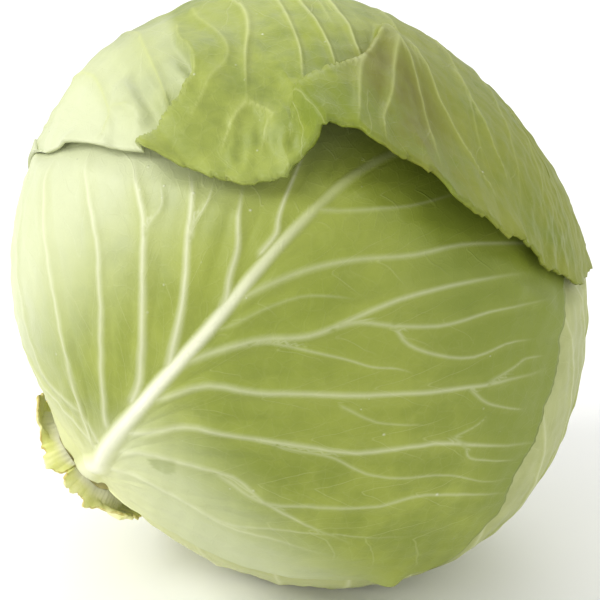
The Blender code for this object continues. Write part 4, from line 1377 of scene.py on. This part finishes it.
leaf_materials = {
    # The front leaf's dark green colours its patch and the painted shade under the crown leaf's
    # lobe.
    "front_leaf": leaf_material("front_leaf_green", {"Stain": "6C7A24"}, {}),
    "crown_leaf": leaf_material("crown_leaf_green", {"Young Green": "919C38",
                                                     "Old Green": "728024", "Rib": "C5CC84"},
                                {"Halo Strength": 0.4, "Rib Strength": 0.75}),
    "under_leaf": leaf_material("under_leaf_green", {"Young Green": "AAAF78",
                                                     "Old Green": "999F64"},
                                {"Rib Strength": 0.5, "Halo Strength": 0.7}),
    "back_leaf": leaf_material("back_leaf_green", {"Young Green": "B4BC6E",
                                                   "Old Green": "98A34A"}, {}),
}
for name, material in leaf_materials.items():
    bodies[name].data.materials.append(material)
print("materials", [material.name for material in leaf_materials.values()])

# %% [markdown]
# ## Heart, cut stem and torn bases
#
# These are the same plant, but dry or sheltered. The heart is nearly white with green clouds.
# The cut face of the stem has a pale pith, a ring of darker vessels and a woody rind. The torn
# bases are yellow green with fine ridges, and brown and crisp where the edge has dried.

# %% Finishes of the heart, stem and torn bases
def heart_look(tree):
    """Cream with clouds of pale green, greener towards the crown."""
    place = own_place(tree)
    cloud = noise(tree, place, 45, 4)
    colour = blend(tree, span(tree, cloud, 0.35, 0.65), tone("DDE2B0"), tone("C6D08A"))
    colour = blend(tree, span(tree, measure(tree, "up"), -0.8, 1.0, 0.0, 0.35), colour,
                   tone("AEBB62"))
    return colour, span(tree, cloud, 0.3, 0.7, 0.38, 0.5), noise(tree, place, 400, 3)


def stem_look(tree):
    """Pith, a ring of vessels at two thirds of the radius, and a rind dried to brown."""
    place = own_place(tree)
    ray = measure(tree, "ray")
    grain = noise(tree, place, 260, 4, 0.7)
    colour = blend(tree, span(tree, grain, 0.3, 0.7), tone("DCD9AE"), tone("CFC88F"))
    ring = times(tree, span(tree, ray, 0.58, 0.68), span(tree, ray, 0.80, 0.72))
    vessel = times(tree, ring, span(tree, noise(tree, place, 900, 2), 0.45, 0.6))
    colour = blend(tree, times(tree, vessel, 0.6), colour, tone("A8A25A"))
    colour = blend(tree, span(tree, ray, 0.86, 0.95, 0.0, 0.6), colour, tone("B9AE6E"))
    return colour, span(tree, grain, 0.3, 0.7, 0.55, 0.75), grain


def torn_look(tree):
    """Pale at the root, clear yellow green, ridged along its length, brown at the torn edge."""
    place = own_place(tree)
    out = measure(tree, "out")
    cloud = noise(tree, place, 120, 4, 0.65)
    colour = blend(tree, span(tree, cloud, 0.35, 0.65), tone("F6F5BA"), tone("E4E68C"))
    colour = blend(tree, span(tree, out, 0.5, 0.0, 0.0, 0.7), colour, tone("F6F4DA"))
    ridge_wave = add(tree, "Math", {0: times(tree, measure(tree, "round"), 170.0)},
                     operation="SINE").outputs[0]
    dry = plus(tree, out, times(tree, cloud, 0.35))
    dry = span(tree, dry, 1.12, 1.24)
    colour = blend(tree, times(tree, dry, 0.75), colour, tone("B08F4A"))
    height = plus(tree, times(tree, ridge_wave, 0.10), cloud)
    return colour, span(tree, dry, 0.0, 1.0, 0.42, 0.75), height


torn_finish = finished("torn_leaf_yellow", torn_look, 0.5, 0.0008)
finishes = {"heart": finished("heart_pale", heart_look, 0.2, 0.0005),
            "stem": finished("stem_cut_face", stem_look, 0.4, 0.0006),
            **{name: torn_finish for name in torn_leaves}}
for name, material in finishes.items():
    bodies[name].data.materials.append(material)
print("finishes", {name: material.name for name, material in finishes.items()})
